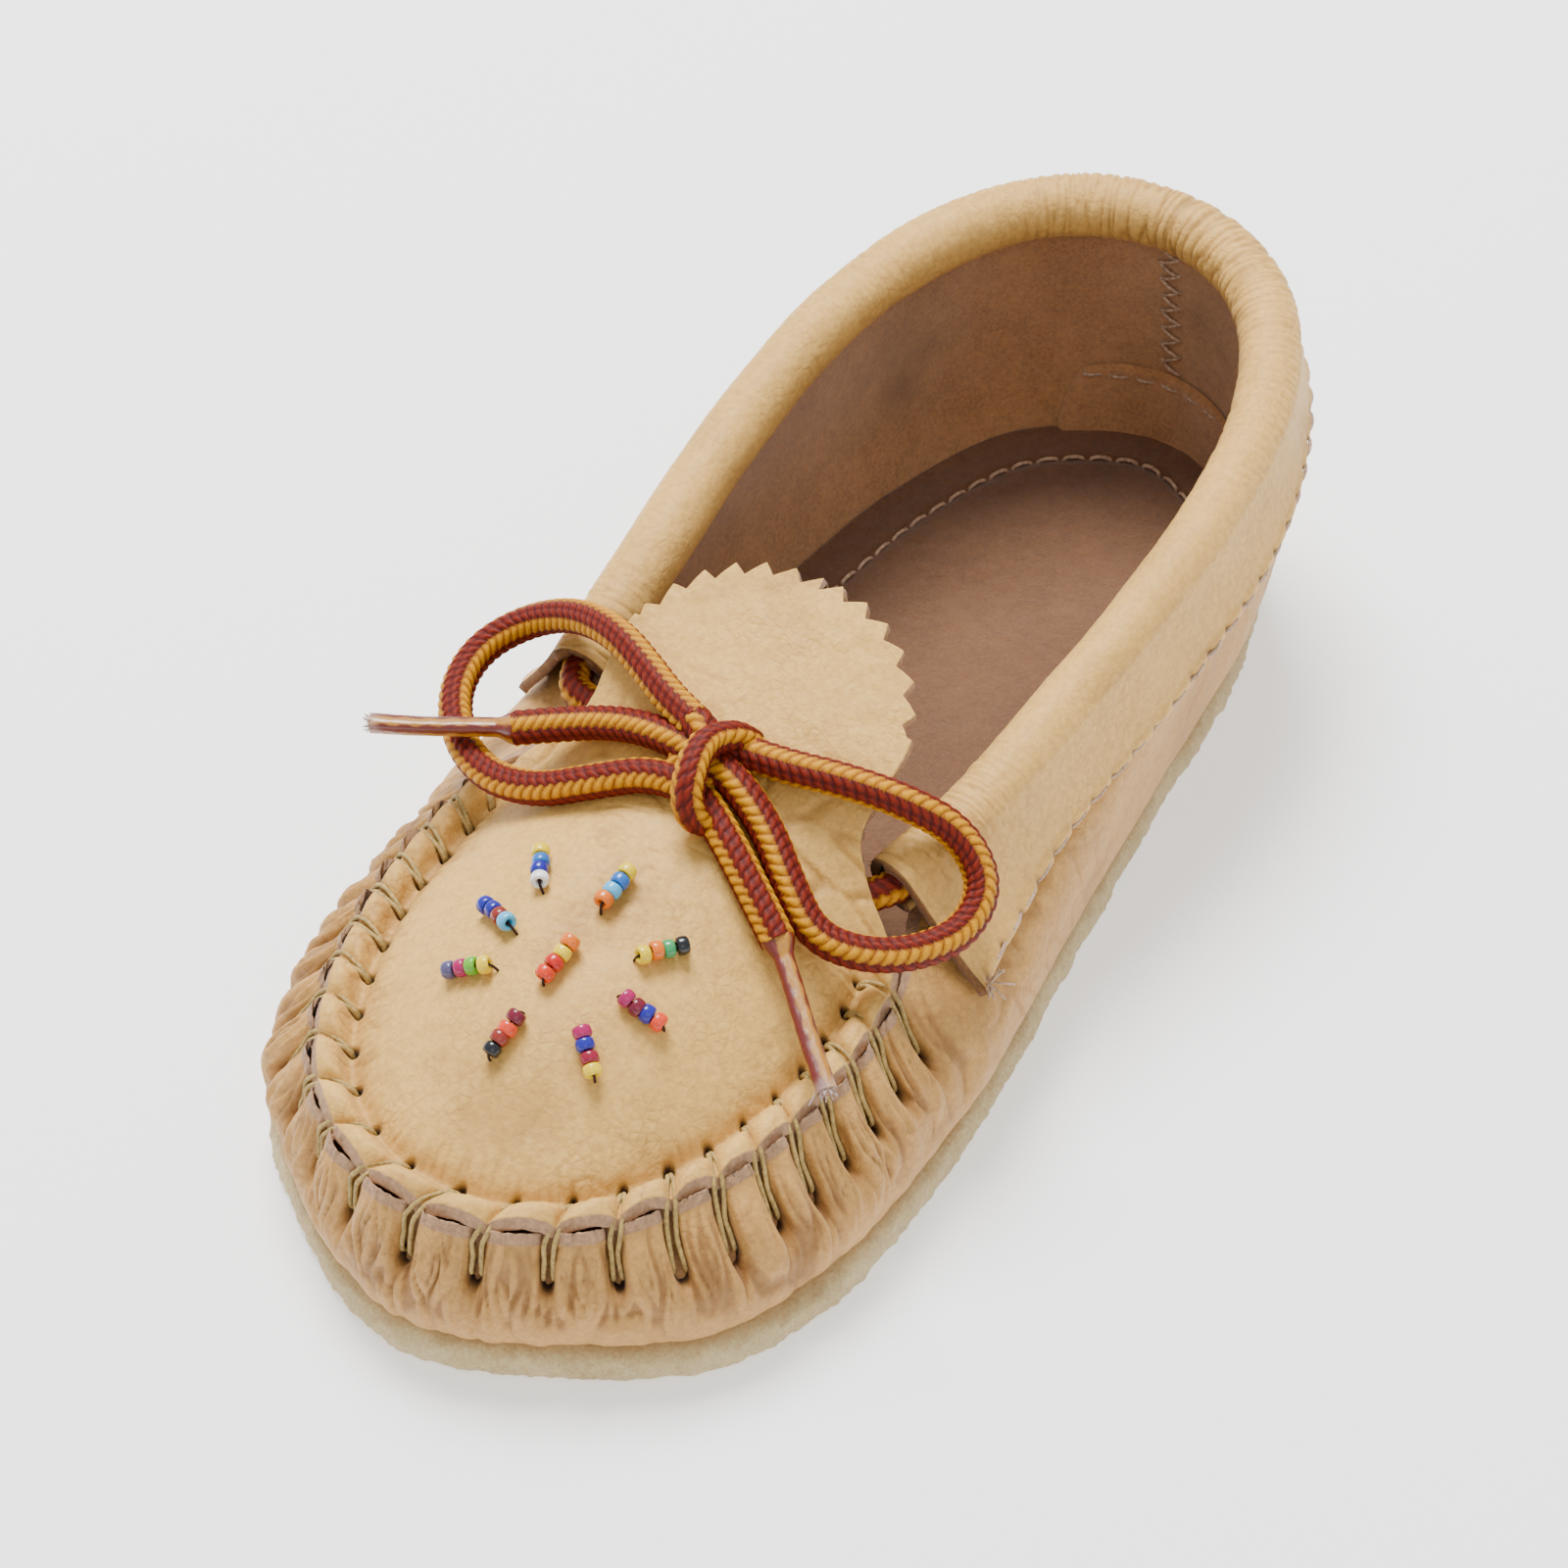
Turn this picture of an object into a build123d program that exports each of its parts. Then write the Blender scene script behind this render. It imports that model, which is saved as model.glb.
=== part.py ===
from build123d import *
import math
import os

# A child's slip-on moccasin, in millimetres. +Z is up, the toe points along -Y, and the origin is on the
# ground under the middle of the sole.

# ---- driving dimensions ---------------------------------------------------------------------------------
SOLE_THICK = 4.0  # napped outsole
LEATHER = 1.7  # body, vamp and collar leather
PAD_THICK = 1.4  # foam under the sock
SOCK_THICK = 1.0  # suede sock that the foot stands on
THREAD_R = 0.35  # waxed thread of the toe seam
FINE_THREAD_R = 0.22  # thread of the machine seams
LACE_R = 2.1
TUNNEL_R = 2.6  # room for the lace inside the collar
ROLL_R = 4.0  # rolled edge of the collar
CLEAR = 0.3
BEAD_R, BEAD_BORE_R, BEAD_LENGTH = 1.1, 0.35, 1.4
AGLET_R = 1.15

BODY_FLOOR = SOLE_THICK
PAD_FLOOR = BODY_FLOOR + LEATHER
SOCK_FLOOR = PAD_FLOOR + PAD_THICK
SOCK_TOP = SOCK_FLOOR + SOCK_THICK

# Stations along the foot, and the half widths there at each height: (height, sideways shift, toe tip,
# half widths at the stations, heel tip).
STATIONS = (-74, -58, -40, -20, 5, 30, 58, 78)
SOLE_ROW = (0, 1.3, -88.0, (28.2, 37.0, 38.4, 37.2, 33.4, 30.0, 26.2, 18.0), 88.0)
BODY_ROWS = (
    (4, 1.3, -87.0, (27.0, 35.6, 37.2, 36.2, 32.6, 29.4, 25.6, 17.4), 87.0),
    (10, 1.0, -88.4, (28.0, 36.8, 38.6, 37.8, 34.4, 31.2, 27.8, 19.4), 88.2),
    (16, 0.5, -86.2, (26.0, 34.4, 36.6, 35.8, 34.4, 32.4, 29.4, 20.8), 88.6),
    (22, 0.0, -82.8, (20.8, 28.4, 31.0, 29.6, 32.6, 32.2, 29.6, 21.0), 88.4),
    (30, 0.0, -80.0, (16.0, 23.0, 25.0, 21.4, 29.0, 31.0, 29.2, 20.8), 87.6),
    (39, 0.0, -78.0, (15.0, 21.0, 22.0, 18.0, 26.0, 29.2, 28.4, 20.0), 86.2),
    (52, 0.0, -78.0, (15.0, 21.0, 22.0, 18.0, 24.6, 27.8, 27.2, 19.0), 84.6),
)
# Top edge of the body leather seen from the side: (y, z) from toe to heel.
TOP_EDGE = ((-100, 22.2), (-60, 22.6), (-42, 23.4), (-31, 24.4), (-20, 24.8), (-12, 26.2), (6, 30.2),
            (28, 34.6), (50, 38.2), (70, 40.8), (100, 42.4))

# Right half of the toe seam's line of holes in plan, from the toe, and how far the leathers reach past it.
SEAM_HALF = ((0, -78.4), (14.1, -73.0), (23.4, -59.4), (26.7, -43.5), (26.3, -31.2), (25.0, -25.5))
VAMP_EDGE = 1.0
LIP_EDGE = 1.3
LIP_FLOOR = 19.8
LIP_BACK_Y = -26.0
NECK_HALF = ((20.0, -20.0), (19.2, -15.0))  # beside the bow, where the vamp narrows into the tongue
FOLD_Y = -11.0  # where the tongue bends
FOLD_GAP = 1.0
TONGUE_HALF_WIDTH = 19.2
TONGUE_TIP_Y = 1.8
TONGUE_CORNER = 11.0
TOOTH_PITCH, TOOTH_DEPTH = 3.4, 1.5

# Middle line of the lace inside the collar, from under the left edge of the vamp, round the heel, to
# under its right edge.
COLLAR_LEFT = ((-26.3, -12, 30.4), (-28.0, 6, 34.4), (-29.6, 28, 38.8), (-28.8, 50, 42.4),
               (-23.6, 67.5, 44.8), (-13.6, 79.6, 46.2))
HEEL_POINT = (0, 83.8, 46.7)
COLLAR_RIGHT = ((13.6, 79.6, 46.2), (23.6, 67.5, 44.8), (28.8, 50, 42.4), (29.6, 28, 38.8),
                (28.0, 6, 34.4), (26.2, -9, 31.2), (23.6, -20, 29.0))
LEAD_LEFT = ((-3.2, -22.2, 40.2), (-4.6, -21.4, 35.2), (-9.0, -20.6, 32.4), (-15.0, -19.0, 31.2),
             (-21.0, -15.8, 30.2))
LEAD_RIGHT = ((18.4, -24.0, 28.6), (12.6, -24.0, 30.2), (7.4, -23.0, 32.4), (4.4, -22.2, 35.6),
              (3.2, -22.2, 40.2))

# The two ends of the lace: out of the knot, round a loop, back through the knot and out as a tail.
LOOP_LEFT_ROUTE = (
    (-2.6, -21.6, 42.8), (-6.8, -20.2, 42.8), (-12.4, -17.2, 42.9), (-18.6, -14.2, 42.7),
    (-26.4, -11.2, 39.3), (-33.6, -11.4, 34.8), (-37.6, -16.6, 32.2), (-36.4, -23.6, 31.0),
    (-31.2, -29.6, 30.6), (-24.4, -32.8, 31.0), (-17.2, -33.4, 33.4), (-10.8, -31.2, 36.6),
    (-4.8, -27.9, 38.7), (1.2, -27.5, 39.0), (6.8, -30.4, 38.0), (12.6, -33.6, 35.8),
    (19.0, -37.2, 32.8),
)
LOOP_RIGHT_ROUTE = (
    (2.2, -21.2, 40.9), (8.6, -20.2, 40.7), (15.6, -18.6, 41.0), (22.6, -16.6, 39.8),
    (28.8, -14.2, 36.3), (33.8, -16.2, 32.2), (34.6, -21.8, 29.8), (32.0, -27.8, 29.9),
    (27.2, -32.0, 30.4), (21.2, -33.4, 31.5), (16.2, -30.8, 34.9), (11.0, -27.2, 37.9),
    (4.6, -24.7, 40.6), (-3.4, -23.4, 40.7), (-10.6, -22.8, 39.1), (-17.8, -24.0, 36.4),
    (-24.3, -27.6, 34.9),
)
AGLET_LEFT_ENDS = ((-24.3, -27.6, 34.9), (-39.6, -35.5, 34.0))
AGLET_RIGHT_ENDS = ((19.0, -37.2, 32.8), (33.2, -49.0, 27.4))
KNOT_CENTRE = (0.4, -25.2, 41.2)
KNOT_SIZE = (7.8, 11.6, 6.6)

# Beadwork: one string in the middle and eight round it, each of four beads: middle of the string in plan and
# the direction it runs in, in degrees.
BEAD_STRINGS = (
    ("bead_string_middle", 0.4, -53.4, -92), ("bead_string_1", -8.6, -43.7, -56),
    ("bead_string_2", 0.8, -42.7, -90), ("bead_string_3", 9.2, -46.2, -128), ("bead_string_4", 11.1, -53.1, -3),
    ("bead_string_5", 8.7, -60.2, -41), ("bead_string_6", -0.2, -63.1, -95),
    ("bead_string_7", -8.6, -58.0, -154), ("bead_string_8", -9.5, -51.0, -17),
)
BEAD_PITCH = 1.5
BEAD_LIFT = 0.25
BEADS_PER_STRING = 4

PUCKERS = 24  # gathers of the toe seam
COLLAR_STITCH = 4.2  # pitch of each row of stitches
TAB_STITCH = 3.6
SOCK_STITCH = 3.6
SOCK_SEAM_INSET = 6.5
HEEL_ZIGZAG = 1.5
HEEL_SEAM_TOP = 41.0
TAB_TOP, TAB_HALF, TAB_THICK = 19.0, 13.0, 1.0  # suede tab over the foot of the heel seam

os.makedirs("parts", exist_ok=True)


def save(builder, name):
    """Label a finished piece and write its STEP file."""
    builder.part.label = name
    export_step(builder.part, f"parts/{name}.step")


def outline_points(row, inset=0.0):
    """Closed ring of points round one height of the shoe."""
    height, shift, toe, halves, heel = row
    right = [(shift + half - inset, y) for half, y in zip(halves, STATIONS)]
    left = [(shift - half + inset, y) for half, y in zip(halves, STATIONS)]
    return [(shift, toe + inset), *right, (shift, heel - inset), *reversed(left)]


def loft_rows(rows, inset=0.0):
    """Solid through the rows' outlines, all moved in by the inset."""
    with BuildPart() as form:
        for row in rows:
            with BuildSketch(Plane.XY.offset(row[0])):
                with BuildLine():
                    Spline(outline_points(row, inset), periodic=True)
                make_face()
        loft()
    return form.part


def smooth_step(t):
    t = min(max(t, 0.0), 1.0)
    return t * t * (3 - 2 * t)


def crown(y):
    """Height of the vamp and tongue leather along the middle of the shoe."""
    ahead_of_bow = max(0.0, (-25 - y) / 55.5)
    rise = 3 * math.log1p(math.exp((y + 25) / 3))
    return 19.0 + 17.2 * (1 - ahead_of_bow**2.4) + 0.46 * rise


def top_skin(x, y):
    """Height of the outside of the vamp and tongue leather."""
    bend = 0.0184 - 0.0144 * smooth_step((y + 31) / 19)
    return crown(y) - bend * x * x


def skin_normal(x, y):
    """Upward unit normal of the vamp leather."""
    step = 0.5
    slope_x = (top_skin(x + step, y) - top_skin(x - step, y)) / (2 * step)
    slope_y = (top_skin(x, y + step) - top_skin(x, y - step)) / (2 * step)
    return Vector(-slope_x, -slope_y, 1).normalized()


def cord_radii(points):
    """Radius of each corner: 0.45 of the shorter run over the tangent of half the turn."""
    corners = [Vector(*p) for p in points]
    radii = []
    for before, corner, after in zip(corners, corners[1:], corners[2:]):
        turn = math.radians((corner - before).get_angle(after - corner))
        run = min((corner - before).length, (after - corner).length)
        radii.append(0.45 * run / math.tan(turn / 2))
    return radii


def cord_tube(points, radius):
    """Round tube along straight runs joined by tangent arcs."""
    with BuildPart() as tube:
        with BuildLine():
            route = FilletPolyline(*points, radius=cord_radii(points))
        with BuildSketch(Plane(route @ 0, z_dir=route % 0)):
            Circle(radius)
        sweep()
    return tube.part, route.length


def outward(wire, t):
    """Unit normal of a plan curve, pointing away from the middle of the vamp."""
    along = wire % t
    return Vector(-along.Y, along.X, 0).normalized()


def beside_seam(distance, count=25):
    """Points of the toe seam's line, from the right end round the toe to the left end, moved outward."""
    return [seam_line @ t + outward(seam_line, t) * distance for t in
            (i / (count - 1) for i in range(count))]


def vamp_face(distance):
    """Sketch outline of the vamp in plan, its edge the given distance outside the line of holes."""
    edge = beside_seam(distance)
    neck_right = [(x, y) for x, y in reversed(NECK_HALF)]
    neck_left = [(-x, y) for x, y in NECK_HALF]
    fold_x, fold_y = NECK_HALF[-1][0], FOLD_Y - FOLD_GAP
    with BuildSketch() as face:
        with BuildLine():
            Spline(*edge)
            Polyline(edge[-1], *neck_left, (-fold_x, fold_y), (fold_x, fold_y), *neck_right, edge[0])
        make_face()
    return face.sketch


def leather_sheet(y_from, y_to, half_width):
    """Sheet of the vamp leather over a rectangle in plan, its outside on top_skin."""
    rows, columns = 24, 13
    grid = []
    for i in range(rows):
        y = y_from + (y_to - y_from) * i / (rows - 1)
        xs = [half_width * (2 * j / (columns - 1) - 1) for j in range(columns)]
        grid.append([(x, y, top_skin(x, y)) for x in xs])
    face = Face.make_surface_from_array_of_points(grid)
    if face.normal_at().Z < 0:
        face = -face
    return Solid.thicken(face, -LEATHER)


# ---- outsole, body, pad and sock ------------------------------------------------------------------------
with BuildPart() as outsole:
    with BuildSketch():
        with BuildLine():
            Spline(outline_points(SOLE_ROW), periodic=True)
        make_face()
    extrude(amount=SOLE_THICK)
save(outsole, "outsole")

body_outside = loft_rows(BODY_ROWS)
body_inside = loft_rows(BODY_ROWS, LEATHER)

with BuildLine():
    seam_line = Spline(*reversed(SEAM_HALF), *[(-x, y) for x, y in SEAM_HALF[1:]])

vamp_outline = vamp_face(VAMP_EDGE)
lip_outline = vamp_face(LIP_EDGE)

# Middle line of the lace held in the collar, and the rolled collar round it.
HELD_LACE = LEAD_LEFT + COLLAR_LEFT + (HEEL_POINT,) + COLLAR_RIGHT + LEAD_RIGHT
held_lace, held_length = cord_tube(HELD_LACE, LACE_R)
print("lace_in_collar length", round(held_length, 1), "radii", [round(r, 1) for r in cord_radii(HELD_LACE)])
lace_way = cord_tube(HELD_LACE, TUNNEL_R)[0]


def flap_reach(y):
    """How far the collar's stitched edge lies outside the roll, and how far below it."""
    out = 4.6 + 8.2 * min(max((6 - y) / 26, 0.0), 1.0)**2 - smooth_step((y - 40) / 40)
    return out, 10.2 - 2.0 * smooth_step((y - 35) / 45)


def collar_section(origin, along):
    """Roll of leather with its flap down to the stitched edge."""
    out = Vector(-along.Y, along.X, 0).normalized()
    reach, drop = flap_reach(origin.Y)
    size = math.hypot(reach, drop)
    side = Vector(drop / size, reach / size)
    facing = math.atan2(side.Y, side.X)

    def on_roll(degrees):
        turn = facing + math.radians(degrees)
        return (ROLL_R * math.cos(turn), ROLL_R * math.sin(turn))

    tip = Vector(reach, -drop)
    with BuildSketch(Plane(origin, x_dir=out, z_dir=along)) as section:
        with BuildLine():
            Line(tip + side * LEATHER, on_roll(0))
            ThreePointArc(on_roll(0), on_roll(60), on_roll(120))
            ThreePointArc(on_roll(120), on_roll(178), on_roll(235))
            Line(on_roll(235), tip)
            Line(tip, tip + side * LEATHER)
        make_face()
    return section.sketch


with BuildLine():
    collar_points = COLLAR_LEFT + (HEEL_POINT,) + COLLAR_RIGHT
    collar_path = FilletPolyline(*collar_points, radius=cord_radii(collar_points))
SECTIONS = 17
sections = []
for i in range(SECTIONS):
    t = i / (SECTIONS - 1)
    sections.append(collar_section(collar_path @ t, collar_path % t))
collar_form = loft(sections)

with BuildPart() as collar:
    add(collar_form)
    add(lace_way, mode=Mode.SUBTRACT)
save(collar, "collar")

with BuildPart() as vamp:
    add(leather_sheet(-84, FOLD_Y - FOLD_GAP + 0.01, 30))
    extrude(vamp_outline, amount=60, mode=Mode.INTERSECT)
    add(lace_way, mode=Mode.SUBTRACT)
save(vamp, "vamp")

# One-piece body: bottom, sides, heel and the gathered lip round the vamp.
with BuildPart() as body_upper:
    add(body_outside)
    with BuildSketch(Plane.XY.offset(PAD_FLOOR)):
        Rectangle(200, 300)
    cavity = extrude(amount=60, mode=Mode.PRIVATE)
    add(body_inside & cavity, mode=Mode.SUBTRACT)
    with BuildSketch(Plane.XY.offset(LIP_FLOOR), mode=Mode.PRIVATE) as lip_area:
        with Locations((0, LIP_BACK_Y)):
            Rectangle(120, 100, align=(Align.CENTER, Align.MAX))
    lip = extrude(lip_area.sketch, amount=10, mode=Mode.PRIVATE) & body_outside
    add(lip - extrude(lip_outline, amount=60, mode=Mode.PRIVATE))
    with BuildSketch(Plane.YZ) as side_view:
        with BuildLine():
            Polyline(*TOP_EDGE, (100, -10), (-100, -10), close=True)
        make_face()
    extrude(amount=60, both=True, mode=Mode.INTERSECT)
    extrude(lip_outline.moved(Location((0, 0, LIP_FLOOR))), amount=40, mode=Mode.SUBTRACT)
    add(collar_form, mode=Mode.SUBTRACT)
save(body_upper, "body_upper")

with BuildPart() as tongue:
    add(leather_sheet(FOLD_Y + FOLD_GAP - 0.01, TONGUE_TIP_Y + 3, 26))
    with BuildSketch() as tongue_outline:
        with Locations((0, (FOLD_Y + FOLD_GAP + TONGUE_TIP_Y) / 2)):
            Rectangle(2 * TONGUE_HALF_WIDTH, TONGUE_TIP_Y - FOLD_Y - FOLD_GAP)
        tip_corners = tongue_outline.vertices().group_by(Axis.Y)[-1]
        fillet(tip_corners, TONGUE_CORNER)
    extrude(amount=60, mode=Mode.INTERSECT)
    # pinked edge: one notch between each two teeth, along the rounded end
    rim = tongue_outline.wires()[0]
    teeth = int(rim.length / TOOTH_PITCH)
    notches = [rim @ (i / teeth) for i in range(teeth)]
    notches = [p for p in notches if p.Y > FOLD_Y + 5]
    with BuildSketch() as notch_sketch:
        for point in notches:
            inward = Vector(-point.X, FOLD_Y - point.Y, 0).normalized()
            heading = math.degrees(math.atan2(inward.Y, inward.X))
            with Locations(Location((point.X, point.Y), heading + 90)):
                RegularPolygon(TOOTH_DEPTH, 3, major_radius=True)
    extrude(amount=60, mode=Mode.SUBTRACT)
save(tongue, "tongue")


def inside_layer(floor, top, inset):
    """Flat layer that fills the inside of the body between two heights."""
    with BuildPart() as layer:
        with BuildSketch(Plane.XY.offset(floor)):
            Rectangle(200, 300)
        extrude(amount=top - floor)
        add(loft_rows(BODY_ROWS, inset), mode=Mode.INTERSECT)
    return layer


sole_pad = inside_layer(PAD_FLOOR, SOCK_FLOOR, LEATHER + CLEAR)
save(sole_pad, "sole_pad")
insole_sock = inside_layer(SOCK_FLOOR, SOCK_TOP, LEATHER + CLEAR)
save(insole_sock, "insole_sock")

with BuildPart() as heel_tab:
    add(loft_rows(BODY_ROWS, LEATHER + 0.1))
    add(loft_rows(BODY_ROWS, LEATHER + 0.1 + TAB_THICK), mode=Mode.SUBTRACT)
    with BuildSketch(Plane.XZ.offset(-70)):
        with Locations((0, SOCK_TOP)):
            Rectangle(2 * TAB_HALF, TAB_TOP - SOCK_TOP, align=(Align.CENTER, Align.MIN))
    extrude(amount=-30, mode=Mode.INTERSECT)
save(heel_tab, "heel_tab")

# ---- lace -----------------------------------------------------------------------------------------------
with BuildPart() as lace_in_collar:
    add(held_lace)
save(lace_in_collar, "lace_in_collar")

for name, route in (("lace_left", LOOP_LEFT_ROUTE), ("lace_right", LOOP_RIGHT_ROUTE)):
    radii = cord_radii(route)
    with BuildPart() as lace_end:
        tube, length = cord_tube(route, LACE_R)
        add(tube)
    print(name, "length", round(length, 1), "radii", [round(r, 1) for r in radii],
          "volume check", round(lace_end.part.volume / (math.pi * LACE_R**2 * length), 4))
    save(lace_end, name)

for name, ends in (("aglet_left", AGLET_LEFT_ENDS), ("aglet_right", AGLET_RIGHT_ENDS)):
    start, end = (Vector(*p) for p in ends)
    with BuildPart() as aglet:
        with BuildSketch(Plane(start, z_dir=end - start)):
            Circle(AGLET_R)
        extrude(amount=(end - start).length)
    save(aglet, name)

with BuildPart() as lace_knot:
    with BuildSketch(Plane(KNOT_CENTRE, x_dir=(1, 0, 0), z_dir=skin_normal(0, KNOT_CENTRE[1]))):
        RectangleRounded(KNOT_SIZE[0], KNOT_SIZE[1], 2.6)
    extrude(amount=KNOT_SIZE[2] / 2, both=True)
    knot_ends = lace_knot.faces().sort_by(Axis.Z)
    fillet(knot_ends[-1].edges() + knot_ends[0].edges(), 1.2)
save(lace_knot, "lace_knot")


# ---- threads --------------------------------------------------------------------------------------------
def thread(start, end, radius):
    """Straight piece of thread between two points."""
    with BuildSketch(Plane(start, z_dir=end - start)) as section:
        Circle(radius)
    extrude(section.sketch, amount=(end - start).length)


def thread_way(points, radius):
    """Bent piece of thread through a few points."""
    with BuildLine():
        way = FilletPolyline(*points, radius=radius * 1.6)
    with BuildSketch(Plane(way @ 0, z_dir=way % 0)) as section:
        Circle(radius)
    sweep(section.sketch, path=way)


# Each stitch of the toe seam comes up out of the vamp, over the lip and down into the body.
with BuildPart() as toe_stitching:
    for i in range(PUCKERS):
        t = 0.02 + 0.96 * i / (PUCKERS - 1)
        hole, out = seam_line @ t, outward(seam_line, t)
        skin = top_skin(hole.X, hole.Y)
        over = max(skin, 22.6) + 0.5
        thread_way([Vector(hole.X, hole.Y, skin - 1.2), Vector(hole.X, hole.Y, over) + out * 0.4,
                    Vector(hole.X, hole.Y, 23.2) + out * 3.8, Vector(hole.X, hole.Y, 17.6) + out * 6.4],
                   THREAD_R)
save(toe_stitching, "toe_stitching")


def on_flap(t):
    """Point on the outside of the collar's flap, a little above its edge."""
    origin, along = collar_path @ t, collar_path % t
    out = Vector(-along.Y, along.X, 0).normalized()
    up = along.cross(out)
    reach, drop = flap_reach(origin.Y)
    size = math.hypot(reach, drop)
    inner = 1 - 2.2 / size
    side = out * (drop / size) + up * (reach / size)
    return origin + out * (reach * inner) - up * (drop * inner) + side * LEATHER


with BuildPart() as collar_stitching:
    count = int(collar_path.length / COLLAR_STITCH)
    for i in range(1, count):
        start, end = on_flap((i - 0.28) / count), on_flap((i + 0.28) / count)
        thread(start, end, THREAD_R)
save(collar_stitching, "collar_stitching")


def inside_ring(height, inset):
    """Ring round the inside of the body at one height."""
    lower = max(r for r in BODY_ROWS if r[0] <= height)
    upper = min(r for r in BODY_ROWS if r[0] > height)
    share = (height - lower[0]) / (upper[0] - lower[0])

    def blend(a, b):
        return a + (b - a) * share

    row = (height, blend(lower[1], upper[1]), blend(lower[2], upper[2]),
           [blend(a, b) for a, b in zip(lower[3], upper[3])], blend(lower[4], upper[4]))
    with BuildLine(Plane.XY.offset(height)):
        ring = Spline(outline_points(row, inset), periodic=True)
    return ring


# Zigzag thread that closes the heel seam, on the inside.
with BuildPart() as heel_seam_stitching:
    heights = [TAB_TOP + 0.8 + i * HEEL_ZIGZAG for i in range(int((HEEL_SEAM_TOP - TAB_TOP) / HEEL_ZIGZAG))]
    corners = [Vector(1.5 * (-1)**i, inside_ring(z, LEATHER).bounding_box().max.Y - 0.25, z)
               for i, z in enumerate(heights)]
    for start, end in zip(corners, corners[1:]):
        thread(start, end, FINE_THREAD_R)
save(heel_seam_stitching, "heel_seam_stitching")

with BuildPart() as heel_tab_stitching:
    ring = inside_ring(TAB_TOP - 1.8, LEATHER + 0.1 + TAB_THICK)
    for i in range(-3, 4):
        middle = 0.5 + i * TAB_STITCH / ring.length
        half = 1.2 / ring.length
        thread(ring @ (middle - half), ring @ (middle + half), FINE_THREAD_R)
save(heel_tab_stitching, "heel_tab_stitching")

with BuildPart() as insole_stitching:
    ring = inside_ring(SOCK_TOP, LEATHER + SOCK_SEAM_INSET)
    count = int(ring.length / SOCK_STITCH)
    for i in range(count):
        thread(ring @ ((i + 0.15) / count), ring @ ((i + 0.85) / count), FINE_THREAD_R)
save(insole_stitching, "insole_stitching")

# ---- beadwork -------------------------------------------------------------------------------------------
def string_frame(x, y, heading):
    """Middle of a string of beads above the leather, its direction and the leather's normal."""
    normal = skin_normal(x, y)
    plan = Vector(math.cos(math.radians(heading)), math.sin(math.radians(heading)), 0)
    along = (plan - normal * plan.dot(normal)).normalized()
    centre = Vector(x, y, top_skin(x, y)) + normal * (BEAD_R + BEAD_LIFT)
    return centre, along, normal


for name, *place in BEAD_STRINGS:
    centre, along, normal = string_frame(*place)
    with BuildPart() as string:
        for k in range(BEADS_PER_STRING):
            middle = (k - (BEADS_PER_STRING - 1) / 2) * BEAD_PITCH
            with BuildSketch(Plane(centre + along * (middle - BEAD_LENGTH / 2), z_dir=along)):
                Circle(BEAD_R)
                Circle(BEAD_BORE_R, mode=Mode.SUBTRACT)
            extrude(amount=BEAD_LENGTH)
    save(string, name)

with BuildPart() as bead_threads:
    for name, *place in BEAD_STRINGS:
        centre, along, normal = string_frame(*place)
        reach = along * (BEADS_PER_STRING * BEAD_PITCH / 2 + 0.5)
        sink = normal * (BEAD_R + BEAD_LIFT + 0.8)
        thread_way([centre - reach - sink, centre - reach, centre + reach, centre + reach - sink],
                   FINE_THREAD_R)
save(bead_threads, "bead_threads")
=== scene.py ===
import math

import bmesh
import bpy
import numpy as np
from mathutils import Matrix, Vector


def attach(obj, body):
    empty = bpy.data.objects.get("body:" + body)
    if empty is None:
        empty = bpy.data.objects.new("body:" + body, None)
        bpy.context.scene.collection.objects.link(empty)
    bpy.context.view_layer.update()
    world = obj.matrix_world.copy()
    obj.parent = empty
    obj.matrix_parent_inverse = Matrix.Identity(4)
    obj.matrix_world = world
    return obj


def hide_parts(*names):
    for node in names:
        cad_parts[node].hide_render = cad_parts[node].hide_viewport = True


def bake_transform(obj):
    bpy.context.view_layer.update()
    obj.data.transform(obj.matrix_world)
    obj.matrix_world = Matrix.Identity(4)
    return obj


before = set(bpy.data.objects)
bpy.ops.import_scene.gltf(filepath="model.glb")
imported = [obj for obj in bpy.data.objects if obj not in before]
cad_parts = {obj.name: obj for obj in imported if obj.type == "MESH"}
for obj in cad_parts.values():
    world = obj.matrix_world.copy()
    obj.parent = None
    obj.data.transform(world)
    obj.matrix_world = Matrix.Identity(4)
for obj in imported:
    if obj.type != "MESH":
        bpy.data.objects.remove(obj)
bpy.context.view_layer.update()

MM = 0.001
rng = np.random.default_rng(7)


# ---- camera
def add_camera():
    azimuth, elevation, distance = math.radians(33.2), math.radians(45.83), 0.5249
    target = Vector((0.0019, -0.00985, 0.025))
    back = Vector((math.sin(azimuth) * math.cos(elevation),
                   -math.cos(azimuth) * math.cos(elevation), math.sin(elevation)))
    data = bpy.data.cameras.new("camera")
    data.lens = 101.2
    data.sensor_width = 36
    camera = bpy.data.objects.new("camera", data)
    camera.location = target + back * distance
    camera.rotation_euler = back.to_track_quat("Z", "Y").to_euler()
    bpy.context.scene.collection.objects.link(camera)
    bpy.context.scene.camera = camera


add_camera()


# ---- number helpers
def smooth(t):
    t = np.clip(t, 0.0, 1.0)
    return t * t * (3 - 2 * t)


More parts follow.
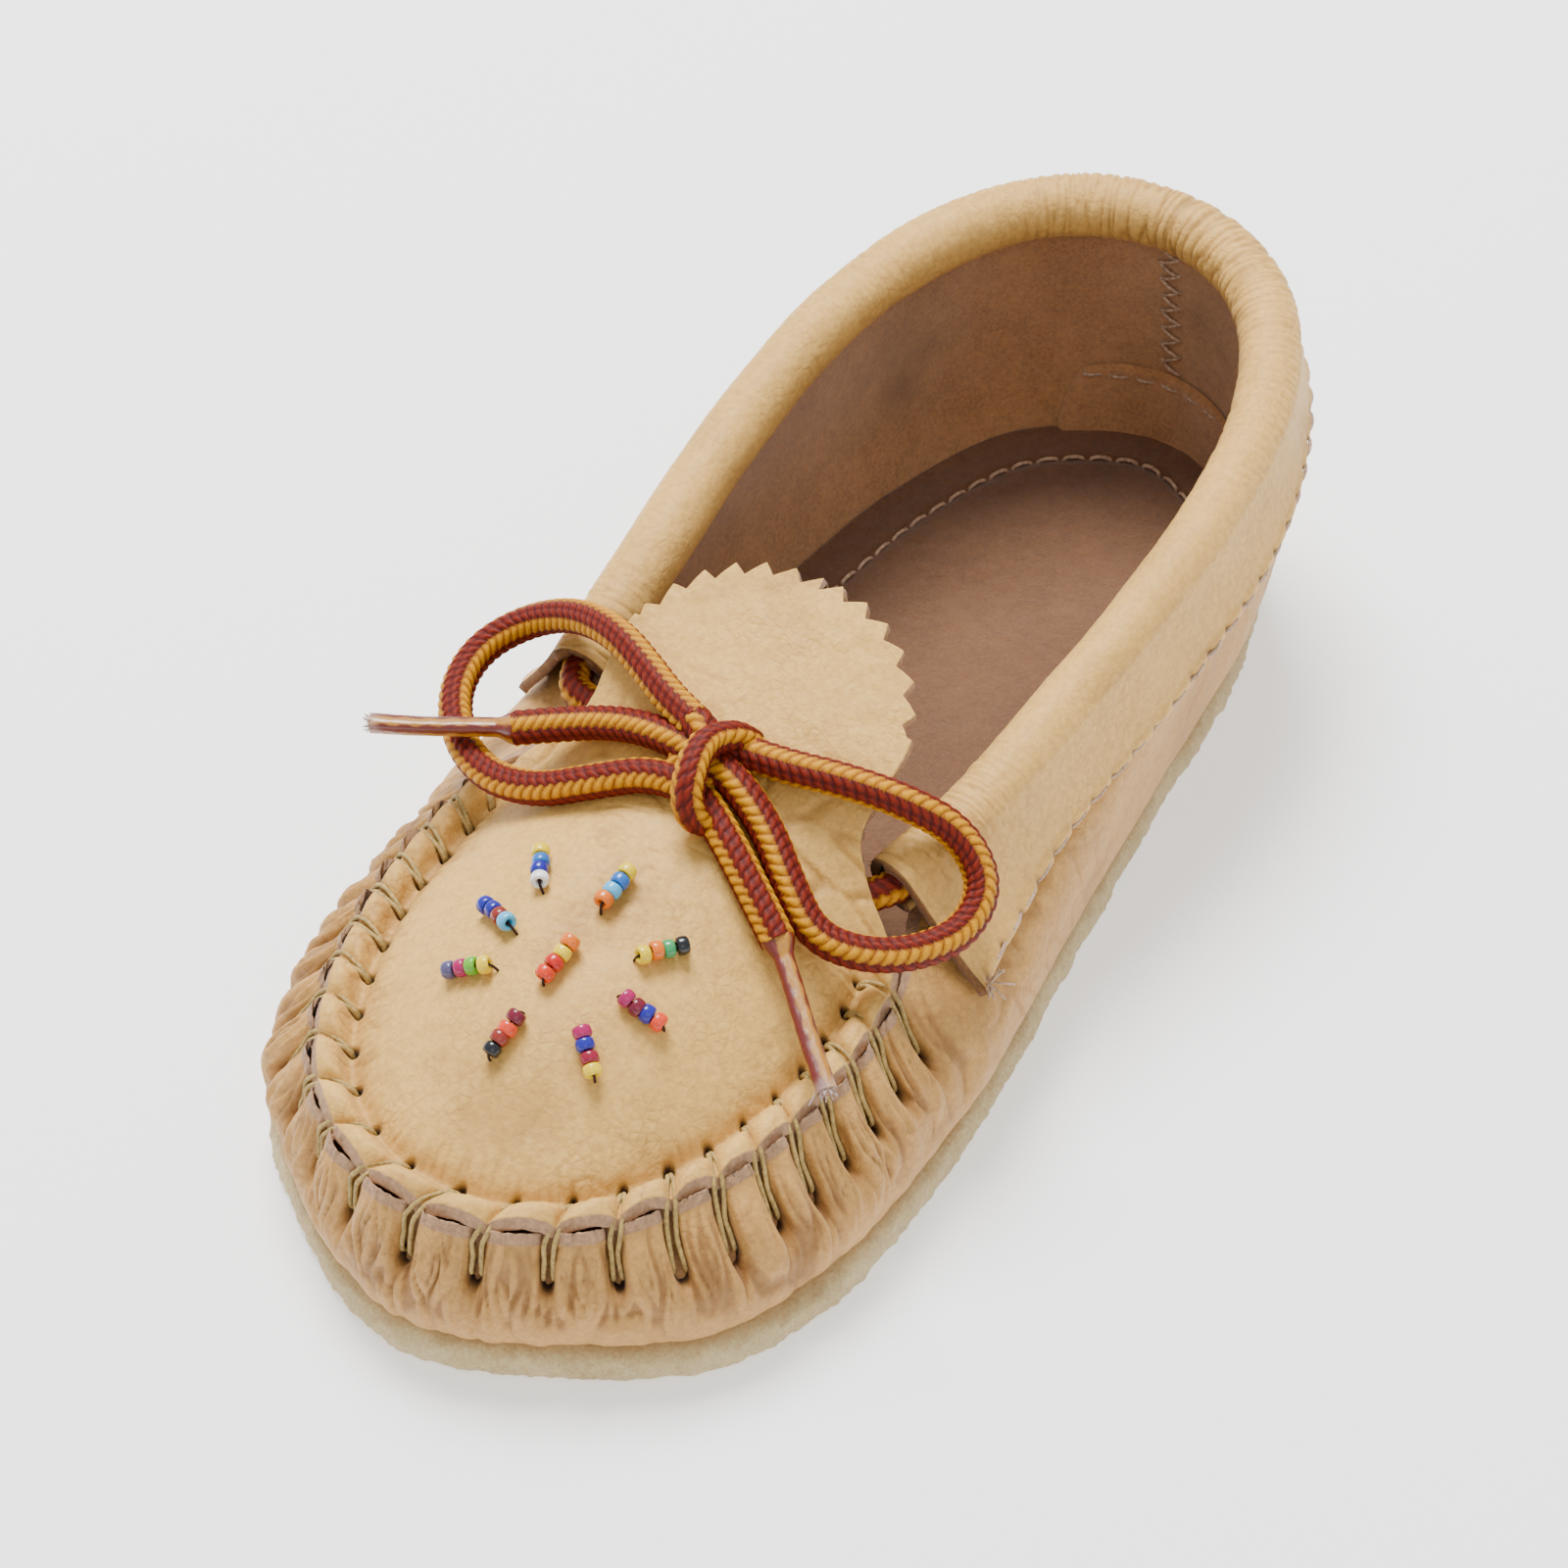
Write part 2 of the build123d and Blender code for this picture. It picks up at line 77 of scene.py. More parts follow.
def noise(points, size, seed=0):
    """Gradient noise from about -1 to 1 over points in millimetres, with features of the given size."""
    p = points / size + seed * 17.31
    cell = np.floor(p).astype(np.int64)
    f = p - cell
    w = f * f * f * (f * (f * 6 - 15) + 10)
    total = np.zeros(p.shape[:-1])
    for corner in range(8):
        off = np.array([(corner >> a) & 1 for a in range(3)])
        c = cell + off
        h = (c[..., 0] * 73856093) ^ (c[..., 1] * 19349663) ^ (c[..., 2] * 83492791)
        h = (h ^ (h >> 13)) * 1274126177 & 0x7FFFFFFF
        angle = (h & 0xFFFF) / 65536 * 2 * np.pi
        lift = ((h >> 15) & 0xFFFF) / 65536 * 2 - 1
        flat = np.sqrt(1 - lift * lift)
        d = f - off
        g = np.cos(angle) * flat * d[..., 0] + np.sin(angle) * flat * d[..., 1] + lift * d[..., 2]
        total += g * np.prod(np.where(off, w, 1 - w), axis=-1)
    return total * 1.6


def ridges(points, size, seed=0):
    """Noise with sharp crease lines: 0 on a crease, rising to 1 between creases."""
    return np.clip(np.abs(noise(points, size, seed)) * 2.2, 0, 1)


def spline_through(points, count, closed=False):
    """Evenly spaced points on a smooth curve through the given ones."""
    p = np.asarray(points, float)
    n = len(p)
    if closed:
        ext = np.vstack([p[-1:], p, p[:2]])
        spans = n
    else:
        ext = np.vstack([2 * p[:1] - p[1:2], p, 2 * p[-1:] - p[-2:-1]])
        spans = n - 1
    dense = []
    u = np.linspace(0, 1, 60, endpoint=False)[:, None]
    for i in range(spans):
        a, b, c, d = ext[i], ext[i + 1], ext[i + 2], ext[i + 3]
        dense.append(0.5 * (2 * b + (c - a) * u + (2 * a - 5 * b + 4 * c - d) * u**2
                            + (3 * b - a - 3 * c + d) * u**3))
    dense = np.vstack(dense + [p[:1] if closed else p[-1:]])
    walked = walked_along(dense)
    return sample(dense, walked, np.linspace(0, walked[-1], count, endpoint=not closed))


def walked_along(line):
    """Distance from the start of a line to each of its points."""
    return np.concatenate([[0], np.cumsum(np.linalg.norm(np.diff(line, axis=0), axis=1))])


def sample(values, walked, at):
    """Rows of values, known at the walked distances, read at other distances."""
    return np.stack([np.interp(at, walked, values[:, k]) for k in range(values.shape[1])], axis=1)


def normalized(v):
    return v / np.maximum(np.linalg.norm(v, axis=-1, keepdims=True), 1e-12)


def facing(normals, direction):
    """The normals, all turned round if together they point against the direction."""
    return normals if np.sum(normals * direction, axis=-1).mean() > 0 else -normals


def outward_in_plan(outline):
    """Outward unit normals of a closed outline."""
    ahead = np.roll(outline, -1, axis=0) - np.roll(outline, 1, axis=0)
    return facing(normalized(np.stack([ahead[:, 1], -ahead[:, 0]], axis=1)), outline)


def with_zero(a, b):
    """Points with a third coordinate of 0."""
    return np.stack(np.broadcast_arrays(a, b, 0.0), axis=-1)


def at_height(plan, height):
    return np.concatenate([plan, np.full((len(plan), 1), height)], axis=1)


# ---- mesh helpers
def make_object(name, points, faces, masks=None, colours=None, merge=0.0):
    """Mesh object from points in millimetres, with named 0..1 masks and one colour for each point."""
    mesh = bpy.data.meshes.new(name)
    mesh.from_pydata((points * MM).tolist(), [], faces)
    for mask_name, values in (masks or {}).items():
        mesh.attributes.new(mask_name, "FLOAT", "POINT").data.foreach_set("value", values.astype(np.float32))
    if colours is not None:
        rgba = np.ones((len(points), 4), np.float32)
        rgba[:, :3] = colours
        mesh.attributes.new("tint", "FLOAT_COLOR", "POINT").data.foreach_set("color", rgba.ravel())
    if merge:
        bm = bmesh.new()
        bm.from_mesh(mesh)
        bmesh.ops.remove_doubles(bm, verts=bm.verts, dist=merge * MM)
        bmesh.ops.recalc_face_normals(bm, faces=bm.faces)
        bm.to_mesh(mesh)
        bm.free()
    mesh.shade_smooth()
    mesh.update()
    piece = bpy.data.objects.new(name, mesh)
    bpy.context.scene.collection.objects.link(piece)
    return piece


def grid_faces(rows, columns, wrap_rows=False, wrap_columns=False, start=0):
    r = np.arange(rows if wrap_rows else rows - 1)
    c = np.arange(columns if wrap_columns else columns - 1)
    r, c = np.meshgrid(r, c, indexing="ij")
    r2, c2 = (r + 1) % rows, (c + 1) % columns
    quads = np.stack([r * columns + c, r * columns + c2, r2 * columns + c2, r2 * columns + c], axis=-1)
    return (quads.reshape(-1, 4) + start).tolist()


def cap_faces(rows, columns, start=0):
    """Faces that close the first and the last row of a grid with wrapped columns."""
    last = start + (rows - 1) * columns
    return [list(range(start, start + columns))[::-1], list(range(last, last + columns))]


def grid_normals(grid, wrap_columns=False):
    """Unit normals of a grid of points."""
    down = np.gradient(grid, axis=0)
    if wrap_columns:
        across = (np.roll(grid, -1, axis=1) - np.roll(grid, 1, axis=1)) / 2
    else:
        across = np.gradient(grid, axis=1)
    return normalized(np.cross(across, down))


def tube_frames(path):
    """Tangent, side and up vectors carried along a path without twist."""
    tangent = normalized(np.gradient(path, axis=0))
    side = np.zeros_like(path)
    start = np.array([0.0, 0.0, 1.0])
    if abs(tangent[0] @ start) > 0.9:
        start = np.array([1.0, 0.0, 0.0])
    side[0] = normalized(np.cross(tangent[0], start))
    for i in range(1, len(path)):
        side[i] = normalized(side[i - 1] - tangent[i] * (side[i - 1] @ tangent[i]))
    return tangent, side, np.cross(tangent, side)


def tube_arrays(path, radius, sides=8, start=0):
    """Points and faces of a round capped tube; the radius is one number or one for each path point."""
    _, side, up = tube_frames(path)
    angle = np.linspace(0, 2 * np.pi, sides, endpoint=False)
    around = np.cos(angle)[None, :, None] * side[:, None] + np.sin(angle)[None, :, None] * up[:, None]
    points = path[:, None] + around * np.broadcast_to(radius, (len(path),))[:, None, None]
    faces = grid_faces(len(path), sides, wrap_columns=True, start=start) + cap_faces(len(path), sides, start)
    return points.reshape(-1, 3), faces


def tubes(name, paths, radius, sides=8):
    """One mesh of many round tubes."""
    points, faces, start = [], [], 0
    for path in paths:
        p, f = tube_arrays(path, radius, sides, start)
        points.append(p)
        faces += f
        start += len(p)
    return make_object(name, np.vstack(points), faces)


# ---- materials
class Nodes:
    """Short way to write a material's node tree."""

    def __init__(self, name):
        self.material = bpy.data.materials.new(name)
        self.material.use_nodes = True
        self.tree = self.material.node_tree
        self.shader = self.tree.nodes["Principled BSDF"]
        self.coords = self.add("ShaderNodeTexCoord").outputs["Object"]

    def add(self, kind, **inputs):
        node = self.tree.nodes.new(kind)
        for key, value in inputs.items():
            if key.replace("_", " ") in node.inputs:
                self.put(node.inputs[key.replace("_", " ")], value)
            else:
                setattr(node, key, value)
        return node

    def put(self, socket, value):
        if isinstance(value, bpy.types.NodeSocket):
            self.tree.links.new(value, socket)
        else:
            socket.default_value = value

    def noise(self, size_mm, detail=4.0, roughness=0.6):
        return self.add("ShaderNodeTexNoise", Vector=self.coords, Scale=1 / (size_mm * MM), Detail=detail,
                        Roughness=roughness).outputs["Fac"]

    def cells(self, size_mm):
        """Distance to the edges of pebble-like cells."""
        return self.add("ShaderNodeTexVoronoi", Vector=self.coords, Scale=1 / (size_mm * MM),
                        feature="DISTANCE_TO_EDGE").outputs["Distance"]

    def range(self, value, low, high, to_low=0.0, to_high=1.0):
        node = self.add("ShaderNodeMapRange")
        for key, number in (("Value", value), ("From Min", low), ("From Max", high),
                            ("To Min", to_low), ("To Max", to_high)):
            self.put(node.inputs[key], number)
        return node.outputs["Result"]

    def math(self, operation, a, b):
        node = self.add("ShaderNodeMath", operation=operation)
        self.put(node.inputs[0], a)
        self.put(node.inputs[1], b)
        return node.outputs[0]

    def times(self, a, *others):
        for b in others:
            a = self.math("MULTIPLY", a, b)
        return a

    def mix(self, factor, a, b):
        node = self.add("ShaderNodeMix", data_type="RGBA")
        self.put(node.inputs[0], factor)
        self.put(node.inputs[6], a)
        self.put(node.inputs[7], b)
        return node.outputs[2]

    def mask(self, name, output="Fac"):
        return self.add("ShaderNodeAttribute", attribute_name=name).outputs[output]

    def bump(self, height, strength, distance_mm, normal=None):
        node = self.add("ShaderNodeBump", Height=height, Strength=strength, Distance=distance_mm * MM)
        if normal is not None:
            self.put(node.inputs["Normal"], normal)
        return node.outputs["Normal"]

    def finish(self, **sockets):
        for key, value in sockets.items():
            self.put(self.shader.inputs[key.replace("_", " ")], value)
        return self.material


def colour(tone, scale=1.0):
    """Linear colour of an 8-bit display colour, made darker or lighter by the scale."""
    def linear(c):
        c = min(255, c * scale) / 255
        return c / 12.92 if c <= 0.04045 else ((c + 0.055) / 1.055) ** 2.4
    return (*map(linear, tone), 1.0)


def leather(name, tone, deep, edge_tone, grain=1.0):
    """Smooth tan leather: mottled colour, fine pebble grain, painted shade in creases and stitch holes, suede
    on its cut edges.
    """
    m = Nodes(name)
    base = m.mix(m.range(m.noise(26, 3), 0.35, 0.65), colour(tone), colour(tone, 0.95))
    pebble = m.range(m.cells(1.3), 0.0, 0.17)
    patches = m.range(m.noise(9, 3), 0.4, 0.62)
    base = m.mix(m.times(m.math("SUBTRACT", 1.0, pebble), patches, 0.14), base, colour(deep))
    base = m.mix(m.times(m.range(m.noise(0.9, 3, 0.7), 0.40, 0.62), 0.20), base, colour(deep))
    # painted shade: darker colour in the creases, thread grooves and slots that the crease mask marks
    base = m.mix(m.mask("crease"), base, colour(deep))
    # painted shade: near-black in the stitch holes and the eyelet, which are only dents in the leather
    base = m.mix(m.mask("hole"), base, colour((38, 16, 14)))
    flesh = m.mix(m.range(m.noise(0.7, 5, 0.8), 0.38, 0.66), colour(edge_tone), colour(edge_tone, 1.28))
    base = m.mix(m.mask("edge"), base, flesh)
    height = m.math("ADD", m.times(pebble, patches, 0.5), m.times(m.noise(0.4, 4, 0.7), 0.5))
    normal = m.bump(height, 0.5 * grain, 0.16)
    normal = m.bump(m.noise(2.2, 3, 0.6), 0.45 * grain, 0.35, normal)
    normal = m.bump(m.noise(6.5, 4, 0.62), 0.55 * grain, 0.8, normal)
    rough = m.math("ADD", m.range(m.noise(3.0, 4), 0.3, 0.7, 0.52, 0.66), m.times(m.mask("edge"), 0.3))
    return m.finish(Base_Color=base, Roughness=rough, Normal=normal, Specular_IOR_Level=0.32,
                    Sheen_Weight=0.06)


def suede(name, tone, deep, nap=1.0):
    """Brushed flesh side: blotches, brushed streaks, pale fibres and stains."""
    m = Nodes(name)
    base = m.mix(m.range(m.noise(15, 5, 0.68), 0.38, 0.62), colour(tone), colour(deep))
    base = m.mix(m.times(m.range(m.noise(2.4, 5, 0.7), 0.36, 0.64), 0.45), base, colour(deep, 0.84))
    base = m.mix(m.times(m.range(m.noise(0.5, 5, 0.75), 0.34, 0.66), 0.42), base, colour(tone, 1.32))
    base = m.mix(m.mask("stain"), base, colour((104, 66, 30)))
    normal = m.bump(m.noise(0.45, 6, 0.8), 0.6 * nap, 0.3)
    normal = m.bump(m.noise(3.5, 4, 0.6), 0.3 * nap, 0.5, normal)
    return m.finish(Base_Color=base, Roughness=0.93, Normal=normal, Specular_IOR_Level=0.12,
                    Sheen_Weight=0.35, Sheen_Roughness=0.6)


def thread_material(name, tone):
    m = Nodes(name)
    base = m.mix(m.range(m.noise(0.5), 0.35, 0.65), colour(tone), colour(tone, 0.72))
    normal = m.bump(m.noise(0.25, 4, 0.7), 0.5, 0.08)
    return m.finish(Base_Color=base, Roughness=0.62, Normal=normal, Specular_IOR_Level=0.35)


def tinted(name, roughness, coat=0.0, bump=0.4, gloss=0.5):
    """Material coloured by the mesh's own tint, for the braid and the beads."""
    grain, dark = 0.25, (0.02, 0.008, 0.004, 1.0)
    m = Nodes(name)
    base = m.mix(m.range(m.noise(grain), 0.3, 0.7, 0.0, 0.3), m.mask("tint", "Color"), dark)
    normal = m.bump(m.noise(grain, 4, 0.7), bump, 0.06)
    return m.finish(Base_Color=base, Roughness=roughness, Normal=normal, Coat_Weight=coat,
                    Specular_IOR_Level=gloss)


def wear(piece, material, slot, body="shoe", nodes=None):
    """Give a piece its material and body, and hide the imported parts it stands for: the given nodes, or its
    slot's node.
    """
    piece.data.materials.clear()
    piece.data.materials.append(material)
    if nodes is None:
        nodes = [slot]
    if nodes:
        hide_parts(*nodes)
    if body:
        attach(piece, body)
    return piece


# ---- shape of the shoe, in millimetres
LEATHER = 1.7
# Half widths at these stations along the foot, for each height: (height, shift, toe tip, halves, heel tip).
STATIONS = (-74, -58, -40, -20, 5, 30, 58, 78)
SOLE_ROW = (0, 1.3, -88.0, (28.2, 37.0, 38.4, 37.2, 33.4, 30.0, 26.2, 18.0), 88.0)
BODY_ROWS = (
    (4, 1.3, -87.0, (27.0, 35.6, 37.2, 36.2, 32.6, 29.4, 25.6, 17.4), 87.0),
    (10, 1.0, -88.4, (28.0, 36.8, 38.6, 37.8, 34.4, 31.2, 27.8, 19.4), 88.2),
    (16, 0.5, -86.2, (26.0, 34.4, 36.6, 35.8, 34.4, 32.4, 29.4, 20.8), 88.6),
    (22, 0.0, -82.8, (20.8, 28.4, 31.0, 29.6, 32.6, 32.2, 29.6, 21.0), 88.4),
    (30, 0.0, -80.0, (16.0, 23.0, 25.0, 21.4, 29.0, 31.0, 29.2, 20.8), 87.6),
    (39, 0.0, -78.0, (15.0, 21.0, 22.0, 18.0, 26.0, 29.2, 28.4, 20.0), 86.2),
    (52, 0.0, -78.0, (15.0, 21.0, 22.0, 18.0, 24.6, 27.8, 27.2, 19.0), 84.6),
)
TOP_EDGE = ((-100, 22.2), (-60, 22.6), (-42, 23.4), (-31, 24.4), (-20, 24.8), (-12, 26.2), (6, 30.2),
            (28, 34.6), (50, 38.2), (70, 40.8), (100, 42.4))
# Right half of the cut edge of the vamp and tongue in plan, from the tongue's tip to the toe.
EDGE_HALF = ((0, 1.8), (6, 1.3), (11.5, -0.6), (16, -4), (18.9, -8.5), (19.6, -12.5), (19.2, -17),
             (19.4, -20.5), (22.5, -23.4), (27.0, -26.0), (29.8, -30.5), (30.5, -37), (30.6, -43.5),
             (29.5, -51.5), (26.8, -61.3), (21.8, -70.6), (16.5, -76.3), (8.6, -80.9), (0, -82.3))
SEAM_REACH = 3.9  # from the vamp's holes out to its cut edge
STITCHES = 24
STITCH_SKEW = 0.42  # how far each stitch runs along the seam while crossing it, in stitches
STITCH_CROSSES = 5.3  # from the vamp's holes out to the body's holes
GATHERS_FROM = -24.5  # the gathered seam lies ahead of this y


def crown(y):
    """Height of the vamp and tongue along their middle."""
    ahead_of_bow = np.maximum(0.0, (-25 - y) / 55.5)
    return 19.0 + 17.2 * (1 - ahead_of_bow**2.4) + 0.46 * 3 * np.log1p(np.exp((y + 25) / 3))


def top_skin(x, y):
    """Height of the vamp and tongue leather."""
    bend = 0.0184 - 0.0144 * smooth((y + 31) / 19)
    return crown(y) - bend * x * x


def row_outline(row, count):
    _, shift, toe, halves, heel = row
    right = [(shift + half, y) for half, y in zip(halves, STATIONS)]
    left = [(shift - half, y) for half, y in zip(halves, STATIONS)]
    return spline_through([(shift, toe), *right, (shift, heel), *reversed(left)], count, closed=True)


class Seam:
    """Edge of the vamp and tongue, sampled closely: place, outward normal, stitch count and seam weight."""

    def __init__(self, count=3600):
        left = [(-x, y) for x, y in EDGE_HALF[-2:0:-1]]
        self.edge = spline_through(list(EDGE_HALF) + left, count, closed=True)
        out = outward_in_plan(self.edge)
        blur = 120
        kernel = np.exp(-(np.arange(-blur, blur + 1) / (blur / 3)) ** 2 / 2)
        kernel /= kernel.sum()
        wrapped = np.vstack([out[-blur:], out, out[:blur]])
        self.out = normalized(np.stack([np.convolve(wrapped[:, k], kernel, "valid") for k in (0, 1)], axis=1))
        self.step = np.linalg.norm(self.edge[1] - self.edge[0])
        self.weight = smooth((GATHERS_FROM - self.edge[:, 1]) / 4.0)
        self.holes = self.edge - self.out * SEAM_REACH
        self.hole_height = top_skin(self.holes[:, 0], self.holes[:, 1])
        toe = np.exp(-((np.arange(count) - count / 2) * self.step / 30) ** 2)
        self.pitch = 4.9 + 3.0 * toe
        stitched = self.edge[:, 1] < GATHERS_FROM - 2.5
        counted = np.cumsum(np.where(stitched, self.step / self.pitch, 0))
        scale = STITCHES / counted[-1]
        self.phase = counted * scale
        self.pitch = self.pitch / scale
        self.walked = np.arange(count) * self.step


seam = Seam()


def lobes(phase):
    """0 at each stitch, 1 halfway between two stitches."""
    return np.abs(np.sin(np.pi * (phase - 0.5)))


def beside_stitch(phase, pitch):
    """Distance along the seam from the nearest stitch, in millimetres, with its sign."""
    from_stitch = phase - 0.5
    return (from_stitch - np.round(from_stitch)) * pitch


# ---- vamp and tongue: one leather
UP = np.array([0.0, 0.0, 1.0])
CUT_EDGE = (0.35, 0.6, 0.85, 1.0)  # rows across the leather's thickness, after the first
TOOTH_PITCH, TOOTH_DEPTH, TOOTH_PEAK = 3.75, 1.5, 0.68  # pinked edge of the tongue
PINKED_FROM = -9.5  # the tongue's edge is pinked behind this y
EYELET = (-4.4, -19.0)


def upward_normals(grid):
    normals = grid_normals(grid, wrap_columns=True)
    normals[normals[..., 2] < 0] *= -1
    return normals


def leather_object(name, grid, faces, edge, crease, hole, merge=0.0, **others):
    """Leather piece. Edge is a mask of all its points; the crease and hole masks, painted shade in creases
    and stitch holes, cover its first rows.
    """
    masks = {"edge": edge}
    for mask_name, values in (("crease", np.clip(crease, 0, 1)), ("hole", hole)):
        masks[mask_name] = np.zeros(grid.shape[:2])
        masks[mask_name][:len(values)] = values
    masks.update(others)
    masks = {mask_name: values.ravel() for mask_name, values in masks.items()}
    return make_object(name, grid.reshape(-1, 3), faces, masks=masks, merge=merge)


def make_vamp():
    """Vamp and tongue as one sheet with its raised, gathered seam edge and pinked tongue edge."""
    columns = 1200
    k = np.arange(columns) * len(seam.edge) // columns
    edge, out, weight = seam.edge[k], seam.out[k], seam.weight[k]
    # rows run from a line along the middle out to the cut edge
    spine = np.stack([np.zeros(columns), -12 + (edge[:, 1] - EDGE_HALF[0][1]) * 0.642], axis=1)
    inner_reach = 4.0
    start = edge - out * (SEAM_REACH + inner_reach)
    shares = np.linspace(0, 1, 34)[:-1]
    plan = [spine + (start - spine) * share for share in shares]
    reach = [np.full(columns, -99.0) for _ in shares]
    for d in np.linspace(-inner_reach, SEAM_REACH, 34):
        plan.append(edge - out * (SEAM_REACH - d))
        reach.append(np.full(columns, d))
    plan, reach = np.array(plan), np.array(reach)
    # pinked teeth on the tongue
    saw = (seam.walked[k] / TOOTH_PITCH) % 1.0
    tooth = np.where(saw < TOOTH_PEAK, saw / TOOTH_PEAK, (1 - saw) / (1 - TOOTH_PEAK))
    cut = np.where(edge[:, 1] > PINKED_FROM, (1 - tooth) * TOOTH_DEPTH, 0)
    plan = plan - out * cut[:, None] * smooth((reach - 1.2) / 2.7)[..., None]
    x, y = plan[..., 0], plan[..., 1]
    z = top_skin(x, y)
    d = np.clip(reach, -inner_reach, SEAM_REACH)
    phase = seam.phase[k] - STITCH_SKEW * np.clip(d, -0.5, 6) / STITCH_CROSSES
    lobe = lobes(phase) ** 0.7
    beside = beside_stitch(phase, seam.pitch[k])
    at_toe = smooth((-52 - edge[:, 1]) / 18)
    rise = (1.9 + 0.7 * at_toe) * np.sin(np.clip(d / 2.9, 0, 1) * np.pi / 2) - 0.35 * smooth((d - 3.0) / 0.9)
    ridge = weight * np.where(d > 0, rise * (0.24 + 0.76 * lobe), 0)
    flat = weight * smooth(d / 1.5)
    z = z + (seam.hole_height[k] - z) * flat + ridge
    valley = np.exp(-((d + 0.1) / 1.1) ** 2) * weight
    z = z - 0.65 * valley
    hole = np.exp(-(((beside / 0.62) ** 2 + ((d + 0.15) / 0.62) ** 2)) ** 1.5) * weight
    z = z - 1.5 * hole
    groove = np.exp(-(beside / 0.55) ** 2) * smooth(d / 0.5) * smooth((4.4 - d) / 0.8) * weight
    z = z - 0.35 * groove
    eyelet = np.exp(-((np.hypot(x - EYELET[0], y - EYELET[1]) / 0.75) ** 3))
    z = z - 1.4 * eyelet
    top = np.stack([x, y, z], axis=-1)

    # creases: round the holes, across the bend behind the bow, and a light wrinkling everywhere
    near_seam = np.exp(-((d + 1.5) / 2.2) ** 2) * weight * (reach > -90)
    fold = with_zero(seam.walked[k], d * 0.22)
    wrinkle = near_seam * (ridges(fold, 1.9, 3) - 0.6) * 0.18
    behind_bow = np.exp(-((y + 24) / 7) ** 2)
    across = with_zero(x * 0.55, y * 1.3)
    wrinkle = wrinkle + behind_bow * np.clip(ridges(across, 4.2, 5) - 0.35, -0.35, 0.1)
    patches = smooth(noise(top, 17, 9) * 1.2 + 0.35) * (1 - 0.8 * smooth((y + 24) / 9))
    fine = with_zero(x + 1.5 * noise(top, 9, 21), y * 0.8)
    wrinkle = wrinkle + patches * np.clip(ridges(fine, 3.0, 11) - 0.26, -0.26, 0) * 0.72
    wrinkle = wrinkle + 0.42 * noise(top, 14, 2) + 0.09 * noise(top, 2.6, 4)
    top = top + upward_normals(top) * wrinkle[..., None]
    # painted shade for the creases: darker in the wrinkles' hollows, the thread grooves and the valley round
    # the holes
    crease = smooth(-wrinkle * 3.0 - 0.1) * 0.35 + 0.30 * groove + 0.25 * valley
    # cut edge, then the flesh side
    normals = upward_normals(top)
    brim = top[-1]
    side = at_height(out, 0)
    fall = -normals[-1] * (1 - weight)[:, None] + (side * 0.4 - UP * 0.92) * weight[:, None]
    rim = []
    for share in (0.12, *CUT_EDGE):
        rough = 0.13 * noise(brim + share * 7, 0.8, 31)
        rim.append(brim + fall * (LEATHER * share) + side * rough[:, None])
    under = [top[i] - normals[i] * LEATHER for i in range(len(top) - 1, -1, -3)]
    grid = np.concatenate([top, np.array(rim), np.array(under)])
    mirrored = -np.arange(columns) % columns
    for row in (0, -1):
        grid[row] = (grid[row] + grid[row][mirrored]) / 2
    edge_mask = np.zeros(grid.shape[:2])
    edge_mask[len(top):] = 0.9
    edge_mask[len(top):len(top) + len(rim)] = 1
    # the stitch holes and the eyelet carry near-black painted shade
    return leather_object("vamp_leather", grid, grid_faces(len(grid), columns, wrap_columns=True), edge_mask,
                          crease, smooth((hole + eyelet) * 1.6), merge=0.004)


# ---- line of the collar
COLLAR_LEFT = ((-26.3, -12, 30.4), (-28.0, 6, 34.4), (-29.6, 28, 38.8), (-28.8, 50, 42.4),
               (-23.6, 67.5, 44.8), (-13.6, 79.6, 46.2))
HEEL_POINT = (0, 83.8, 46.7)
COLLAR_RIGHT = ((13.6, 79.6, 46.2), (23.6, 67.5, 44.8), (28.8, 50, 42.4), (29.6, 28, 38.8),
                (28.0, 6, 34.4), (26.2, -9, 31.2), (23.6, -20, 29.0))
COLLAR_SIDE = COLLAR_RIGHT[::-1] + (HEEL_POINT,)
ROLL_R = 4.0
ROLL_ARC = math.radians(246)
COLLAR_LEATHER = 1.25
COLLAR_STITCH = 4.2


def collar_frames():
    """Middle line of the roll, distances along it, and its outward and upward directions."""
    line = spline_through(COLLAR_LEFT + (HEEL_POINT,) + COLLAR_RIGHT, 1100)
    along = normalized(np.gradient(line, axis=0))
    out = normalized(with_zero(-along[:, 1], along[:, 0]))
    return line, walked_along(line), out, np.cross(along, out)


def flap_reach(y):
    """How far the flap's lower edge lies outside and below the middle of the roll."""
    out = 4.6 + 8.2 * np.clip((6 - y) / 26, 0, 1) ** 2 - smooth((y - 40) / 40)
    return out, 10.2 - 2.0 * smooth((y - 35) / 45)


def flap_section(y):
    """Section of the flap from the roll's middle: its lower edge, and its outward unit normal."""
    reach, drop = flap_reach(y)
    normal = np.stack([drop, reach], axis=1) / np.hypot(reach, drop)[:, None]
    return np.stack([reach, -drop], axis=1), normal


# how far the body swells under the flap at each y
SWELL = ((-30, -10, 6, 28, 50, 67, 80), (3.0, 3.4, 3.0, 2.4, 2.0, 1.6, 1.2))


# ---- body: bottom, sides and heel, gathered at the toe
BODY_COLUMNS = 1500
BODY_FOOT, FLESH_FOOT = 3.3, 5.6  # lowest points of the skin and of the flesh side
IN_PLAN = (1, 1, 0)
PULL_FROM = 11.5  # above this height the toe's wall leans in to the seam
body_rows = np.array([row_outline(row, BODY_COLUMNS) for row in BODY_ROWS])
body_heights = np.array([row[0] for row in BODY_ROWS], float)


